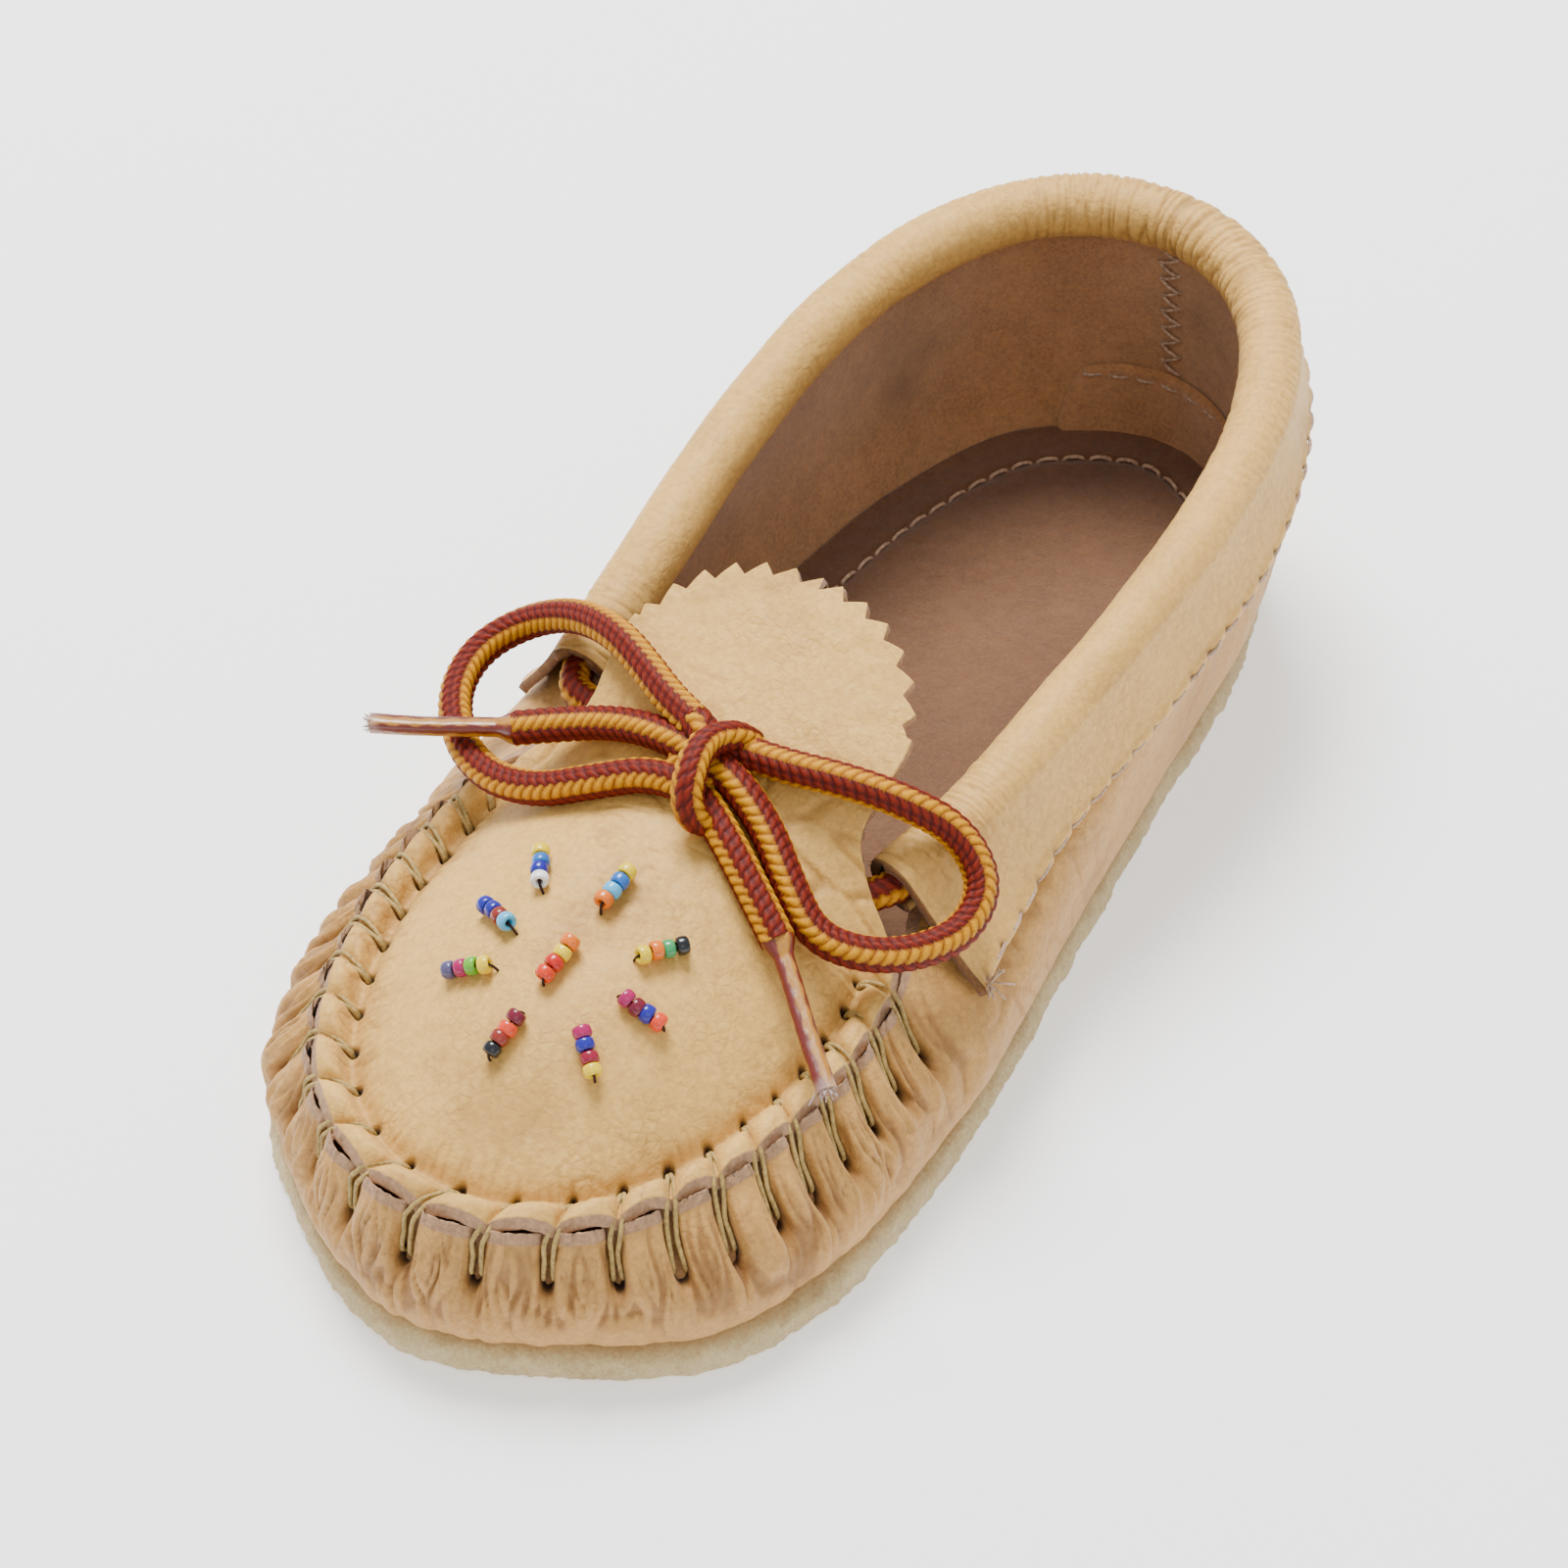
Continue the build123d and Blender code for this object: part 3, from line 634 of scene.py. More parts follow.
def body_plan(heights):
    """Plan of the body at many heights, smooth between its rows; heights are (rows, columns)."""
    slopes = np.gradient(body_rows, body_heights, axis=0)
    i = np.clip(np.searchsorted(body_heights, heights, side="right") - 1, 0, len(body_heights) - 2)
    columns = np.arange(BODY_COLUMNS)[None, :]
    span = (body_heights[i + 1] - body_heights[i])[..., None]
    t = (heights - body_heights[i])[..., None] / span
    a, b = body_rows[i, columns], body_rows[i + 1, columns]
    slope_a, slope_b = slopes[i, columns] * span, slopes[i + 1, columns] * span
    return ((2 * t**3 - 3 * t**2 + 1) * a + (t**3 - 2 * t**2 + t) * slope_a
            + (-2 * t**3 + 3 * t**2) * b + (t**3 - t**2) * slope_b)


def ring(height):
    """Outline of the body at one height."""
    return body_plan(np.full((1, BODY_COLUMNS), float(height)))[0]


def make_body():
    """Skin gathered at the toe, its cut edge and its flesh side. Also returns what the stitches need."""
    columns = BODY_COLUMNS
    at_16 = ring(16)
    y_16 = at_16[:, 1]
    nearest = np.argmin(np.linalg.norm(at_16[:, None] - seam.edge[None, ::4], axis=2), axis=1) * 4
    in_toe = smooth((-23.5 - y_16) / 5.0)
    phase = seam.phase[nearest] - STITCH_SKEW
    pitch = seam.pitch[nearest]
    lobe = lobes(phase)
    beside = beside_stitch(phase, pitch)
    lip_height = seam.hole_height[nearest] - 1.0 - 0.55 * (1 - lobe) * in_toe
    rim_height = np.interp(y_16, *zip(*TOP_EDGE)) + 1.5 * smooth((y_16 + 18) / 6)
    top_height = np.minimum(lip_height, 25.5) * in_toe + rim_height * (1 - in_toe)
    lip_out = SEAM_REACH + 1.15 + 0.3 * lobe
    lip = seam.edge[nearest] + seam.out[nearest] * (lip_out - SEAM_REACH)[:, None]
    rows = 76
    share = np.linspace(0, 1, rows)[:, None]
    heights = BODY_FOOT + (top_height - BODY_FOOT) * share
    to_lip = lip - body_plan(top_height[None])[0]

    def pulled_plan(at):
        pull = smooth((at - PULL_FROM) / np.maximum(top_height - PULL_FROM, 1)) * in_toe
        return body_plan(np.maximum(at, body_heights[0])) + to_lip * pull[..., None]

    plan = pulled_plan(heights)
    outward = normalized(at_16 - np.stack([np.zeros(columns), np.clip(y_16, -60, 62)], axis=1))
    _, collar_y, collar_z = zip(*COLLAR_SIDE)
    under_flap = np.interp(y_16, collar_y, collar_z) - flap_reach(y_16)[1] - heights
    swell = np.interp(y_16, *SWELL) * (1 - in_toe)
    swollen = np.exp(-(np.maximum(under_flap, 0) / 7.5) ** 2) * smooth((under_flap + 6) / 6)
    plan = plan + (outward * swell[:, None]) * swollen[..., None]
    base = np.concatenate([plan, heights[..., None]], axis=-1)
    normals = facing(grid_normals(base, wrap_columns=True), base * IN_PLAN)
    below = top_height - heights
    puff = 1.7 * (lobe ** 0.8 - 0.5) * np.exp(-((below - 2.2) / 4.2) ** 2) * in_toe
    width = 0.55 + 0.05 * below
    slot = np.exp(-np.abs(beside / width) ** 1.6)
    slot_depth = 1.7 * smooth((below + 0.3) / 0.6) * np.exp(-(np.maximum(below - 3.4, 0) / 2.6) ** 2)
    hole = np.exp(-(((beside / 0.55) ** 2 + ((below - 3.8) / 1.15) ** 2)) ** 1.4) * in_toe
    walked = np.arange(columns) * np.linalg.norm(np.roll(at_16, -1, axis=0) - at_16, axis=1).mean()
    fan = beside * (1 - 0.5 * np.exp(-((below - 3.5) / 3.0) ** 2))
    stretched = with_zero(walked - beside + fan, heights * 0.16)
    cover = np.exp(-((below - 5.0) / 4.6) ** 2) * in_toe
    wrinkle = cover * (ridges(stretched, 1.5, 3) - 0.55) * 0.75
    slow = with_zero(walked, heights * 0.3)
    wrinkle = wrinkle + np.exp(-((below - 7) / 6) ** 2) * in_toe * (ridges(slow, 3.4, 8) - 0.5) * 0.8
    side_cover = (1 - in_toe) * smooth((22 - y_16) / 30)
    slanted = with_zero(walked + heights * 0.9, heights * 0.45)
    wrinkle = wrinkle + side_cover * np.clip(ridges(slanted, 4.0, 15) - 0.35, -0.35, 0) * 0.5
    wrinkle = wrinkle + 0.25 * noise(base, 12, 6) + 0.06 * noise(base, 2.0, 7)
    tuck = -1.3 * (1 - smooth((heights - 4) / 2.6))
    lift = puff - slot * slot_depth * in_toe - 1.5 * hole + wrinkle + tuck
    outer = base + normals * lift[..., None]
    # painted shade for the creases: darker in the wrinkles' hollows and in the slots between the lobes
    crease = smooth(-wrinkle * 3.2 - 0.15) * 0.5 + 0.35 * slot * np.clip(slot_depth, 0, 1) * in_toe
    # cut edge at the top, then the flesh side down to the sock
    side = normalized(normals[-1] * IN_PLAN)
    slope = (UP * 0.92 - side * 0.4) * in_toe[:, None] - side * (1 - in_toe[:, None])
    rim = []
    for part in (0.1, *CUT_EDGE):
        rough = 0.15 * noise(outer[-1] + part * 5, 0.8, 41)
        rim.append(outer[-1] + slope * (LEATHER * part) + side * rough[:, None])
    inner_top = top_height - 0.2 - 2.0 * in_toe
    inner_heights = FLESH_FOOT + (inner_top - FLESH_FOOT) * np.linspace(1, 0, 36)[:, None]
    inner_base = np.concatenate([pulled_plan(inner_heights), inner_heights[..., None]], axis=-1)
    inner_normals = facing(grid_normals(inner_base, wrap_columns=True), inner_base * IN_PLAN)
    inner = inner_base - inner_normals * (LEATHER + 0.9 * in_toe + 0.18 * noise(inner_base, 9, 51)
                                          + 0.05 * noise(inner_base, 1.2, 52))[..., None]
    grid = np.concatenate([outer, np.array(rim), inner])
    inner_from = rows + len(rim)
    edge_mask = np.zeros(grid.shape[:2])
    edge_mask[rows:inner_from] = 1
    stain = np.zeros(grid.shape[:2])
    for *spot, size in ((0, 84, 16, 7), (8, 84, 30, 5), (-26, 62, 24, 8)):
        away = np.linalg.norm(inner - np.array(spot), axis=2)
        stain[inner_from:] += 0.5 * np.exp(-(away / size) ** 2) * (0.7 + 0.6 * noise(inner, 5, 61))
    faces = grid_faces(len(grid), columns, wrap_columns=True)
    # the stitch holes carry near-black painted shade
    piece = leather_object("body_leather", grid, faces, edge_mask, crease, smooth(hole * 1.5),
                           stain=np.clip(stain, 0, 1))
    is_flesh = np.arange(len(faces)) >= (inner_from - 1) * columns
    shape = {"base": base, "normals": normals, "phase": phase, "in_toe": in_toe, "top": top_height}
    return piece, is_flesh, shape


# ---- collar: rolled over the lace
def make_collar():
    """Roll round the lace and the flap below it, with wrinkles, and pinched by the stitches."""
    line, walked, out, up = collar_frames()
    tip, side = flap_section(line[:, 1])
    facing_flap = np.arctan2(side[:, 1], side[:, 0])
    roll_steps, flap_steps = 46, 30
    sections = []
    for i in range(roll_steps):
        turn = facing_flap + ROLL_ARC * (1 - i / (roll_steps - 1))
        sections.append(np.stack([ROLL_R * np.cos(turn), ROLL_R * np.sin(turn)], axis=1))
    root = side * ROLL_R
    for i in range(1, flap_steps + 1):
        t = i / flap_steps
        hollow = -0.35 * math.sin(math.pi * t) + 0.25 * math.exp(-((t - 0.93) / 0.05) ** 2)
        sections.append(root + (tip + side * 2.0 - root) * t + side * hollow)
    profile = np.array(sections)
    skin = line + out * profile[..., :1] + up * profile[..., 1:]
    rows, count = skin.shape[:2]
    # wrinkles across the roll, strongest round the heel and at the front ends
    row_at = np.arange(rows)[:, None] / roll_steps
    heel = np.exp(-((line[:, 1] - 84) / 9) ** 2)
    bend = np.exp(-((line[:, 1] - 60) / 16) ** 2) * 0.4
    front = smooth((6 - line[:, 1]) / 16) * 0.7
    fine = np.clip(ridges(with_zero(walked, row_at * 1.6), 1.25, 71) - 0.4, -0.4, 0.05)
    fade = smooth(row_at / 0.35) * smooth((1.45 - row_at) / 0.5)
    wrinkle = (heel + bend + front) * fine * 0.75 * fade
    wrinkle = wrinkle + 0.22 * noise(skin, 13, 72) + 0.05 * noise(skin, 2.0, 73)
    flap_t = np.clip((np.arange(rows)[:, None] - roll_steps + 1) / flap_steps, 0, 1)
    stitch = (walked / COLLAR_STITCH) % 1.0
    pinch = np.exp(-((np.minimum(stitch, 1 - stitch)) * COLLAR_STITCH / 0.55) ** 2)
    wrinkle = wrinkle - 0.38 * pinch * np.exp(-((flap_t - 0.97) / 0.09) ** 2)
    from_line = skin - line
    skin = skin + facing(grid_normals(skin), from_line) * wrinkle[..., None]
    inner = skin - facing(grid_normals(skin), from_line) * COLLAR_LEATHER
    grid = np.concatenate([skin, inner[::-1]])
    total = len(grid)
    edge_mask = np.zeros((total, count))
    edge_mask[rows:] = 0.9
    edge_mask[:, :2] = 1
    edge_mask[:, -2:] = 1
    faces = grid_faces(total, count, wrap_rows=True)
    for end, order in ((0, 1), (count - 1, -1)):
        for i in range(rows - 1):
            corners = (i, i + 1, total - 2 - i, total - 1 - i)
            faces.append([row * count + end for row in corners][::order])
    # painted shade in the wrinkles' hollows, and near-black painted shade in the stitches' pinches at the
    # flap's edge
    return leather_object("collar_leather", grid, faces, edge_mask, smooth(-wrinkle * 3.4 - 0.1) * 0.45,
                          (pinch ** 2) * np.exp(-((flap_t - 0.985) / 0.03) ** 2) * 0.9)


# ---- sole
def layered_object(name, rings):
    """Closed piece from rings of points, the first and last of which are its bottom and top."""
    rows, columns = len(rings), len(rings[0])
    faces = grid_faces(rows, columns, wrap_columns=True)
    faces += [face[::-1] for face in cap_faces(rows, columns)]
    return make_object(name, np.vstack(rings), faces)


def make_sole():
    """Napped outsole: rough, slightly ragged side and a fuzzy top edge."""
    count = 1400
    outline = row_outline(SOLE_ROW, count)
    out = outward_in_plan(outline)
    # reach from the outline and height, from the middle of the bottom round the side and over the top
    profile = ((-30, 0.0), (-8, 0.0), (-2, 0.0), (-0.7, 0.05), (-0.1, 0.5), (0.25, 1.1), (0.35, 1.8),
               (0.3, 2.5), (0.15, 3.1), (-0.1, 3.6), (-0.5, 4.0), (-1.2, 4.3), (-2.4, 4.35),
               (-4.0, 4.2), (-8, 4.0))
    grid = []
    for reach, height in profile:
        if reach < -20:
            grid.append(at_height(outline * 0.15, height))
            continue
        place = at_height(outline + out * reach, height)
        side_share = smooth((reach + 3) / 2.5)
        rough = 0.35 * noise(place, 6, 81) + 0.28 * noise(place, 1.6, 82) + 0.2 * noise(place, 0.7, 83)
        place[:, :2] += out * (rough * side_share)[:, None]
        if height > 0.3:
            place[:, 2] += side_share * (0.22 * noise(place, 1.8, 84) + 0.2 * noise(place, 5, 85))
        grid.append(place)
    return layered_object("napped_sole", grid)


# ---- sock
SOCK_TOP = 8.1
SOCK_SEAM = 6.0  # from the wall in to the stitched line


def inside_line(height, inset, count=700):
    """Outline this far inside the body's, at one height."""
    outline = ring(height)
    moved = outline - outward_in_plan(outline) * inset
    pick = np.round(np.linspace(0, len(outline), count, endpoint=False)).astype(int)
    return at_height(moved[pick], height)


def make_sock():
    """Suede sock, slightly dished, rising a little at the wall."""
    count = 900
    rim = inside_line(SOCK_TOP, LEATHER + 0.15, count)[:, :2]
    shares = np.concatenate([np.linspace(0.0, 0.9, 60), np.linspace(0.91, 1.0, 12)])
    mirrored = -np.arange(count) % count
    length = np.clip((rim[:, 1] + rim[mirrored][:, 1]) / 2, -62, 62)
    spine = np.stack([np.full(count, 0.8), length], axis=1)
    grid = []
    for share in shares:
        plan = spine + (rim - spine) * share
        place = at_height(plan, SOCK_TOP)
        from_wall = np.linalg.norm(plan - rim, axis=1)
        place[:, 2] += 0.25 * noise(place, 15, 91) + 0.07 * noise(place, 1.6, 92)
        place[:, 2] += 0.55 * np.exp(-from_wall / 1.6)
        place[:, 2] -= 0.32 * np.exp(-((from_wall - SOCK_SEAM) / 0.55) ** 2)
        grid.append(place)
    grid.append(at_height(grid[-1][:, :2], SOCK_TOP - 1.0))
    faces = grid_faces(len(grid), count, wrap_columns=True)
    faces.append(cap_faces(len(grid), count)[1][::-1])
    return make_object("suede_sock", np.vstack(grid), faces, merge=0.004)


def make_pad():
    """Foam layer under the sock."""
    rings = []
    for height, inset in ((5.8, 4.0), (5.8, 2.5), (6.4, 2.3), (7.0, 2.5), (7.0, 4.0)):
        place = inside_line(height, LEATHER + inset, 500)
        place[:, 2] += 0.04 * noise(place, 3, 97)
        rings.append(place)
    return layered_object("foam_pad", rings)


# ---- seam threads
def make_toe_stitches(body):
    """Each stitch: two strands out of a vamp hole, over the cut edges and into the body's hole."""
    paths = []
    reach = (-0.1, 0.1, 0.7, 1.5, 2.4, 3.2, 4.0, 4.7, 5.3)
    climb = (-1.9, -0.9, -0.1, 0.3, 0.5, 0.55, 0.3, -0.4, -1.4)
    usable = np.where(body["in_toe"] > 0.5)[0]
    for i in range(STITCHES):
        for strand in (-1, 1):
            line = []
            for d, up in zip(reach, climb):
                spread = strand * (0.16 + 0.40 * min(max(d, 0) / 3.0, 1))
                reached = i + 0.5 + STITCH_SKEW * max(d, 0) / STITCH_CROSSES
                k = int(np.searchsorted(seam.phase, reached)) % len(seam.edge)
                k = int(k + spread / seam.step) % len(seam.edge)
                plan = seam.edge[k] - seam.out[k] * (SEAM_REACH - d)
                line.append([plan[0], plan[1], seam.hole_height[k] + up])
            column = usable[np.argmin(np.abs(body["phase"][usable] - (i + 0.5 + strand * 0.05)))]
            heights = body["base"][:, column, 2]
            for below, lift in ((1.5, -0.35), (2.6, -0.75), (3.5, -1.4), (3.9, -2.8)):
                row = int(np.argmin(np.abs(heights - (body["top"][column] - below))))
                line.append(body["base"][row, column] + body["normals"][row, column] * lift)
            paths.append(spline_through(line, 48))
    return paths


def sew(name, slot, line, normals, radius, pitch=3.6, share=0.8, lift=0.12, sink=0.6):
    """Stitches along a line: each rises out of its hole, lies on the leather and goes down again."""
    walked = walked_along(line)
    normals = np.broadcast_to(normals, line.shape)
    arc = np.sin(np.linspace(0, np.pi, 12))
    height = lift * arc ** 0.4 - sink * (1 - arc ** 0.3)
    paths = []
    for i in range(int(walked[-1] / pitch)):
        at = (i + (1 - share) / 2) * pitch + np.linspace(0, share * pitch, 12)
        paths.append(sample(line, walked, at) + sample(normals, walked, at) * height[:, None])
    return wear(tubes(name, paths, radius), pale_thread, slot)


# ---- lace
LACE_R = 2.1
LACE_STITCH = 1.28  # length of one stitch of the braid
LACE_WALES = 9  # columns of stitches round the lace: one gold, two rust, three times over
GOLD_SHARE = 0.42
# the second tone of each pair is painted shade for the hollows between the braid's stitches
GOLD, GOLD_SHADED = np.array([0.80, 0.36, 0.002]), np.array([0.26, 0.060, 0.002])
RUST, RUST_SHADED = np.array([0.24, 0.016, 0.003]), np.array([0.045, 0.002, 0.004])
PINCHED_GOLD, PINCHED_RUST = np.array([0.46, 0.19, 0.008]), np.array([0.15, 0.010, 0.004])
PINCHED_END = np.array([0.52, 0.36, 0.30])

LEAD_LEFT = ((-3.2, -22.2, 40.2), (-4.6, -21.4, 35.2), (-9.0, -20.6, 32.4), (-15.0, -19.0, 31.2),
             (-21.0, -15.8, 30.2))
LEAD_RIGHT = ((18.4, -24.0, 28.6), (12.6, -24.0, 30.2), (7.4, -23.0, 32.4), (4.4, -22.2, 35.6),
              (3.2, -22.2, 40.2))
LOOP_LEFT_ROUTE = (
    (-2.6, -21.6, 42.8), (-6.8, -20.2, 42.8), (-12.4, -17.2, 42.9), (-18.6, -14.2, 42.7),
    (-26.4, -11.2, 39.3), (-33.6, -11.4, 34.8), (-37.6, -16.6, 32.2), (-36.4, -23.6, 31.0),
    (-31.2, -29.6, 30.6), (-24.4, -32.8, 31.0), (-17.2, -33.4, 33.4), (-10.8, -31.2, 36.6),
    (-4.8, -27.9, 38.7), (1.2, -27.5, 39.0), (6.8, -30.4, 38.0), (12.6, -33.6, 35.8),
    (19.0, -37.2, 32.8),
)
LOOP_RIGHT_ROUTE = (
    (2.2, -21.2, 40.9), (8.6, -20.2, 40.7), (15.6, -18.6, 41.0), (22.6, -16.6, 39.8),
    (28.8, -14.2, 36.3), (33.8, -16.2, 32.2), (34.6, -21.8, 29.8), (32.0, -27.8, 29.9),
    (27.2, -32.0, 30.4), (21.2, -33.4, 31.5), (16.2, -30.8, 34.9), (11.0, -27.2, 37.9),
    (4.6, -24.7, 40.6), (-3.4, -23.4, 40.7), (-10.6, -22.8, 39.1), (-17.8, -24.0, 36.4),
    (-24.3, -27.6, 34.9),
)
AGLET_LEFT_ENDS = ((-24.3, -27.6, 34.9), (-39.6, -35.5, 34.0))
AGLET_RIGHT_ENDS = ((19.0, -37.2, 32.8), (33.2, -49.0, 27.4))
KNOT_WRAP = ((1.5, -17.8, 38.0), (2.9, -19.2, 40.4), (2.3, -21.4, 42.9), (1.2, -24.2, 44.0),
             (1.3, -27.0, 44.2), (2.1, -29.7, 43.4), (2.9, -31.4, 41.7), (3.9, -31.5, 39.4),
             (4.6, -29.6, 37.6))
KNOT_HEART = ((-3.0, -24.6, 38.6), (0.0, -24.9, 39.2), (3.4, -25.4, 38.8))
KNOT_INLET = ((-2.9, -21.5, 42.8), (-1.6, -21.95, 42.7), (0.1, -22.9, 42.0), (1.7, -24.3, 40.4))


def route_line(name, route, step=0.12):
    """Points read along the route's smooth NURBS line, in millimetres."""
    curve = bpy.data.curves.new(name + "_route", "CURVE")
    curve.dimensions = "3D"
    curve.resolution_u = 24
    spline = curve.splines.new("NURBS")
    spline.points.add(len(route) - 1)
    for point, place in zip(spline.points, route):
        point.co = (place[0] * MM, place[1] * MM, place[2] * MM, 1.0)
    spline.order_u = 3
    spline.use_endpoint_u = True
    holder = bpy.data.objects.new(name + "_route", curve)
    bpy.context.scene.collection.objects.link(holder)
    bpy.context.view_layer.update()
    mesh = bpy.data.meshes.new_from_object(holder)
    line = np.array([v.co for v in mesh.vertices]) / MM
    bpy.data.objects.remove(holder)
    bpy.data.meshes.remove(mesh)
    walked = walked_along(line)
    return sample(line, walked, np.linspace(0, walked[-1], int(walked[-1] / step)))


def braid(name, line, radius=LACE_R, turn=0.0, per_wale=6, flatten=0.0):
    """Round braid along a line: columns of slanted stitches, gold and rust in turn round the lace."""
    _, side, up = tube_frames(line)
    sides = LACE_WALES * per_wale
    angle = np.linspace(0, 2 * np.pi, sides, endpoint=False)
    a, v = np.meshgrid(angle, walked_along(line))
    # neighbouring columns interlock: the boundary between them swings with the stitches
    swing = 0.20 * np.abs((v / LACE_STITCH) % 1.0 * 2 - 1) - 0.10
    period = a / (2 * np.pi) * (LACE_WALES // 3) + swing / 3
    third = np.floor(period)
    share = period - third
    kind = np.where(share < GOLD_SHARE, 0, np.where(share < (1 + GOLD_SHARE) / 2, 1, 2))
    left = np.select([kind == 0, kind == 1], [0.0, GOLD_SHARE], (1 + GOLD_SHARE) / 2)
    width = np.where(kind == 0, GOLD_SHARE, (1 - GOLD_SHARE) / 2)
    across = (share - left) / width - 0.5
    column = third * 3 + kind
    slant = np.where(kind == 0, 1.0, -1.0)
    along = v / LACE_STITCH + slant * across * 0.85 + 0.5 * (kind == 2)
    within = along - np.floor(along) - 0.5
    puff = np.clip(1 - (2 * within) ** 2, 0, 1) ** 0.6 * np.clip(np.cos(across * np.pi * 0.96), 0, 1) ** 0.4
    around = (np.cos(a + turn)[..., None] * side[:, None]
              + np.sin(a + turn)[..., None] * up[:, None] * (1 - flatten))
    points = line[:, None] + around * (radius * (0.87 + 0.15 * puff))[..., None]
    # painted shade: each stitch's colour darkens from its puffed middle into the hollows round it
    shade = (puff ** 1.3)[..., None]
    thread = 0.90 + 0.2 * noise(with_zero(along * 7 + column, across * 40), 1.0, 5)
    tint = np.where((kind == 0)[..., None], GOLD_SHADED + (GOLD - GOLD_SHADED) * shade,
                    RUST_SHADED + (RUST - RUST_SHADED) * shade)
    tint = np.clip(tint * thread[..., None], 0, 1)
    faces = grid_faces(len(line), sides, wrap_columns=True) + cap_faces(len(line), sides)
    return make_object(name, points.reshape(-1, 3), faces, colours=tint.reshape(-1, 3))


def join(pieces, name):
    """One object out of several new ones."""
    with bpy.context.temp_override(active_object=pieces[0], selected_editable_objects=pieces,
                                   selected_objects=pieces):
        bpy.ops.object.join()
    pieces[0].name = name
    return pieces[0]


def make_aglet(name, ends):
    """Lace tip: the pinched braid, the clear sleeve round it and the frayed threads at its end."""
    start, end = np.array(ends[0]), np.array(ends[1])
    length = np.linalg.norm(end - start)
    t = np.linspace(0, 1, 150)
    line = start + (end - start) * t[:, None]
    line = line + 0.07 * np.stack([np.zeros_like(t), np.sin(t * 7), np.cos(t * 5) - 1], axis=1)
    _, side, up = tube_frames(line)
    sides = 40
    angle = np.linspace(0, 2 * np.pi, sides, endpoint=False)
    a, v = np.meshgrid(angle, t)
    wide = LACE_R * 0.9
    neck = wide + (1.14 - wide) * smooth(v / 0.13) + 0.06 * smooth((v - 0.6) / 0.4)
    fold = 1 + 0.10 * np.cos(3 * a + 1.0) + 0.04 * noise(with_zero(a * 3, v * 14), 1.0, 3)
    around = np.cos(a)[..., None] * side[:, None] + np.sin(a)[..., None] * up[:, None]
    points = line[:, None] + around * (neck * fold)[..., None]
    gold = smooth(np.sin(3 * a + v + 0.3 * np.sin(v * 40)) * 2.2 + 0.4)[..., None]
    tint = PINCHED_RUST * (1 - gold) + PINCHED_GOLD * gold
    pale = smooth((v - 0.90) / 0.10)[..., None] * 0.5
    tint = tint * (1 - pale) + PINCHED_END * pale
    tint = tint * (0.85 + 0.3 * rng.random(tint.shape[:2]))[..., None]
    faces = grid_faces(len(line), sides, wrap_columns=True) + cap_faces(len(line), sides)
    filling = make_object(name + "_filling", points.reshape(-1, 3), faces,
                          colours=np.clip(tint, 0, 1).reshape(-1, 3))
    sleeve_radius = 1.27 * (1 + 0.03 * np.sin(t * 19)) + 0.45 * (1 - smooth(t / 0.09)) - 0.02
    sleeve = tubes(name + "_sleeve", [line[8:]], sleeve_radius[8:], 32)
    tip = line[-1]
    way = (end - start) / length
    frays = []
    for k in range(16):
        spread = rng.normal(0, 0.42, 3)
        spread -= way * (spread @ way)
        reach = 0.3 + 0.5 * rng.random()
        frays.append(spline_through([tip - way * 0.8 + spread * 0.9, tip + spread * 1.2,
                                     tip + way * reach + spread * (1.4 + 0.5 * rng.random())], 8))
    fray = tubes(name + "_fray", frays, 0.07, 5)
    return filling, sleeve, fray


# ---- beads
BEAD_STRINGS = (
    ("bead_string_middle", 0.4, -53.4, -92, ("orange", "yellow", "red", "orange_red")),
    ("bead_string_1", -8.6, -43.7, -56, ("yellow", "mid_blue", "dark_blue", "white")),
    ("bead_string_2", 0.8, -42.7, -90, ("yellow", "mid_blue", "light_blue", "orange")),
    ("bead_string_3", 9.2, -46.2, -128, ("black", "green", "orange", "yellow")),
    ("bead_string_4", 11.1, -53.1, -3, ("magenta", "maroon", "dark_blue", "coral")),
    ("bead_string_5", 8.7, -60.2, -41, ("magenta", "dark_blue", "dark_red", "yellow")),
    ("bead_string_6", -0.2, -63.1, -95, ("maroon", "coral", "red_brown", "black")),
    ("bead_string_7", -8.6, -58.0, -154, ("yellow", "light_green", "magenta", "grey_purple")),
    ("bead_string_8", -9.5, -51.0, -17, ("dark_blue", "dark_blue", "red_brown", "light_blue")),
)
BEAD_TONES = {
    "orange": (240, 116, 0), "yellow": (246, 212, 0), "red": (206, 22, 14), "orange_red": (226, 52, 6),
    "mid_blue": (34, 110, 196), "dark_blue": (30, 32, 158), "white": (250, 250, 250),
    "light_blue": (84, 186, 232), "black": (14, 22, 30), "green": (50, 158, 92),
    "magenta": (172, 18, 92), "maroon": (116, 14, 46),
    "coral": (236, 66, 30), "dark_red": (150, 16, 52), "red_brown": (142, 42, 32),
    "light_green": (104, 184, 44), "grey_purple": (88, 82, 120),
}
BEAD_R, BEAD_BORE_R, BEAD_LENGTH, BEAD_PITCH, BEAD_LIFT = 1.1, 0.35, 1.4, 1.5, 0.25


def skin_normal(x, y):
    step = 0.5
    slope_x = (top_skin(x + step, y) - top_skin(x - step, y)) / (2 * step)
    slope_y = (top_skin(x, y + step) - top_skin(x, y - step)) / (2 * step)
    return normalized(np.array([-slope_x, -slope_y, 1.0]))


def string_frame(x, y, heading):
    """Middle of a string of beads above the leather, its direction and the leather's normal."""
    normal = skin_normal(x, y)
    plan = np.array([math.cos(math.radians(heading)), math.sin(math.radians(heading)), 0.0])
    along = normalized(plan - normal * (plan @ normal))
    return np.array([x, y, top_skin(x, y)]) + normal * (BEAD_R + BEAD_LIFT), along, normal


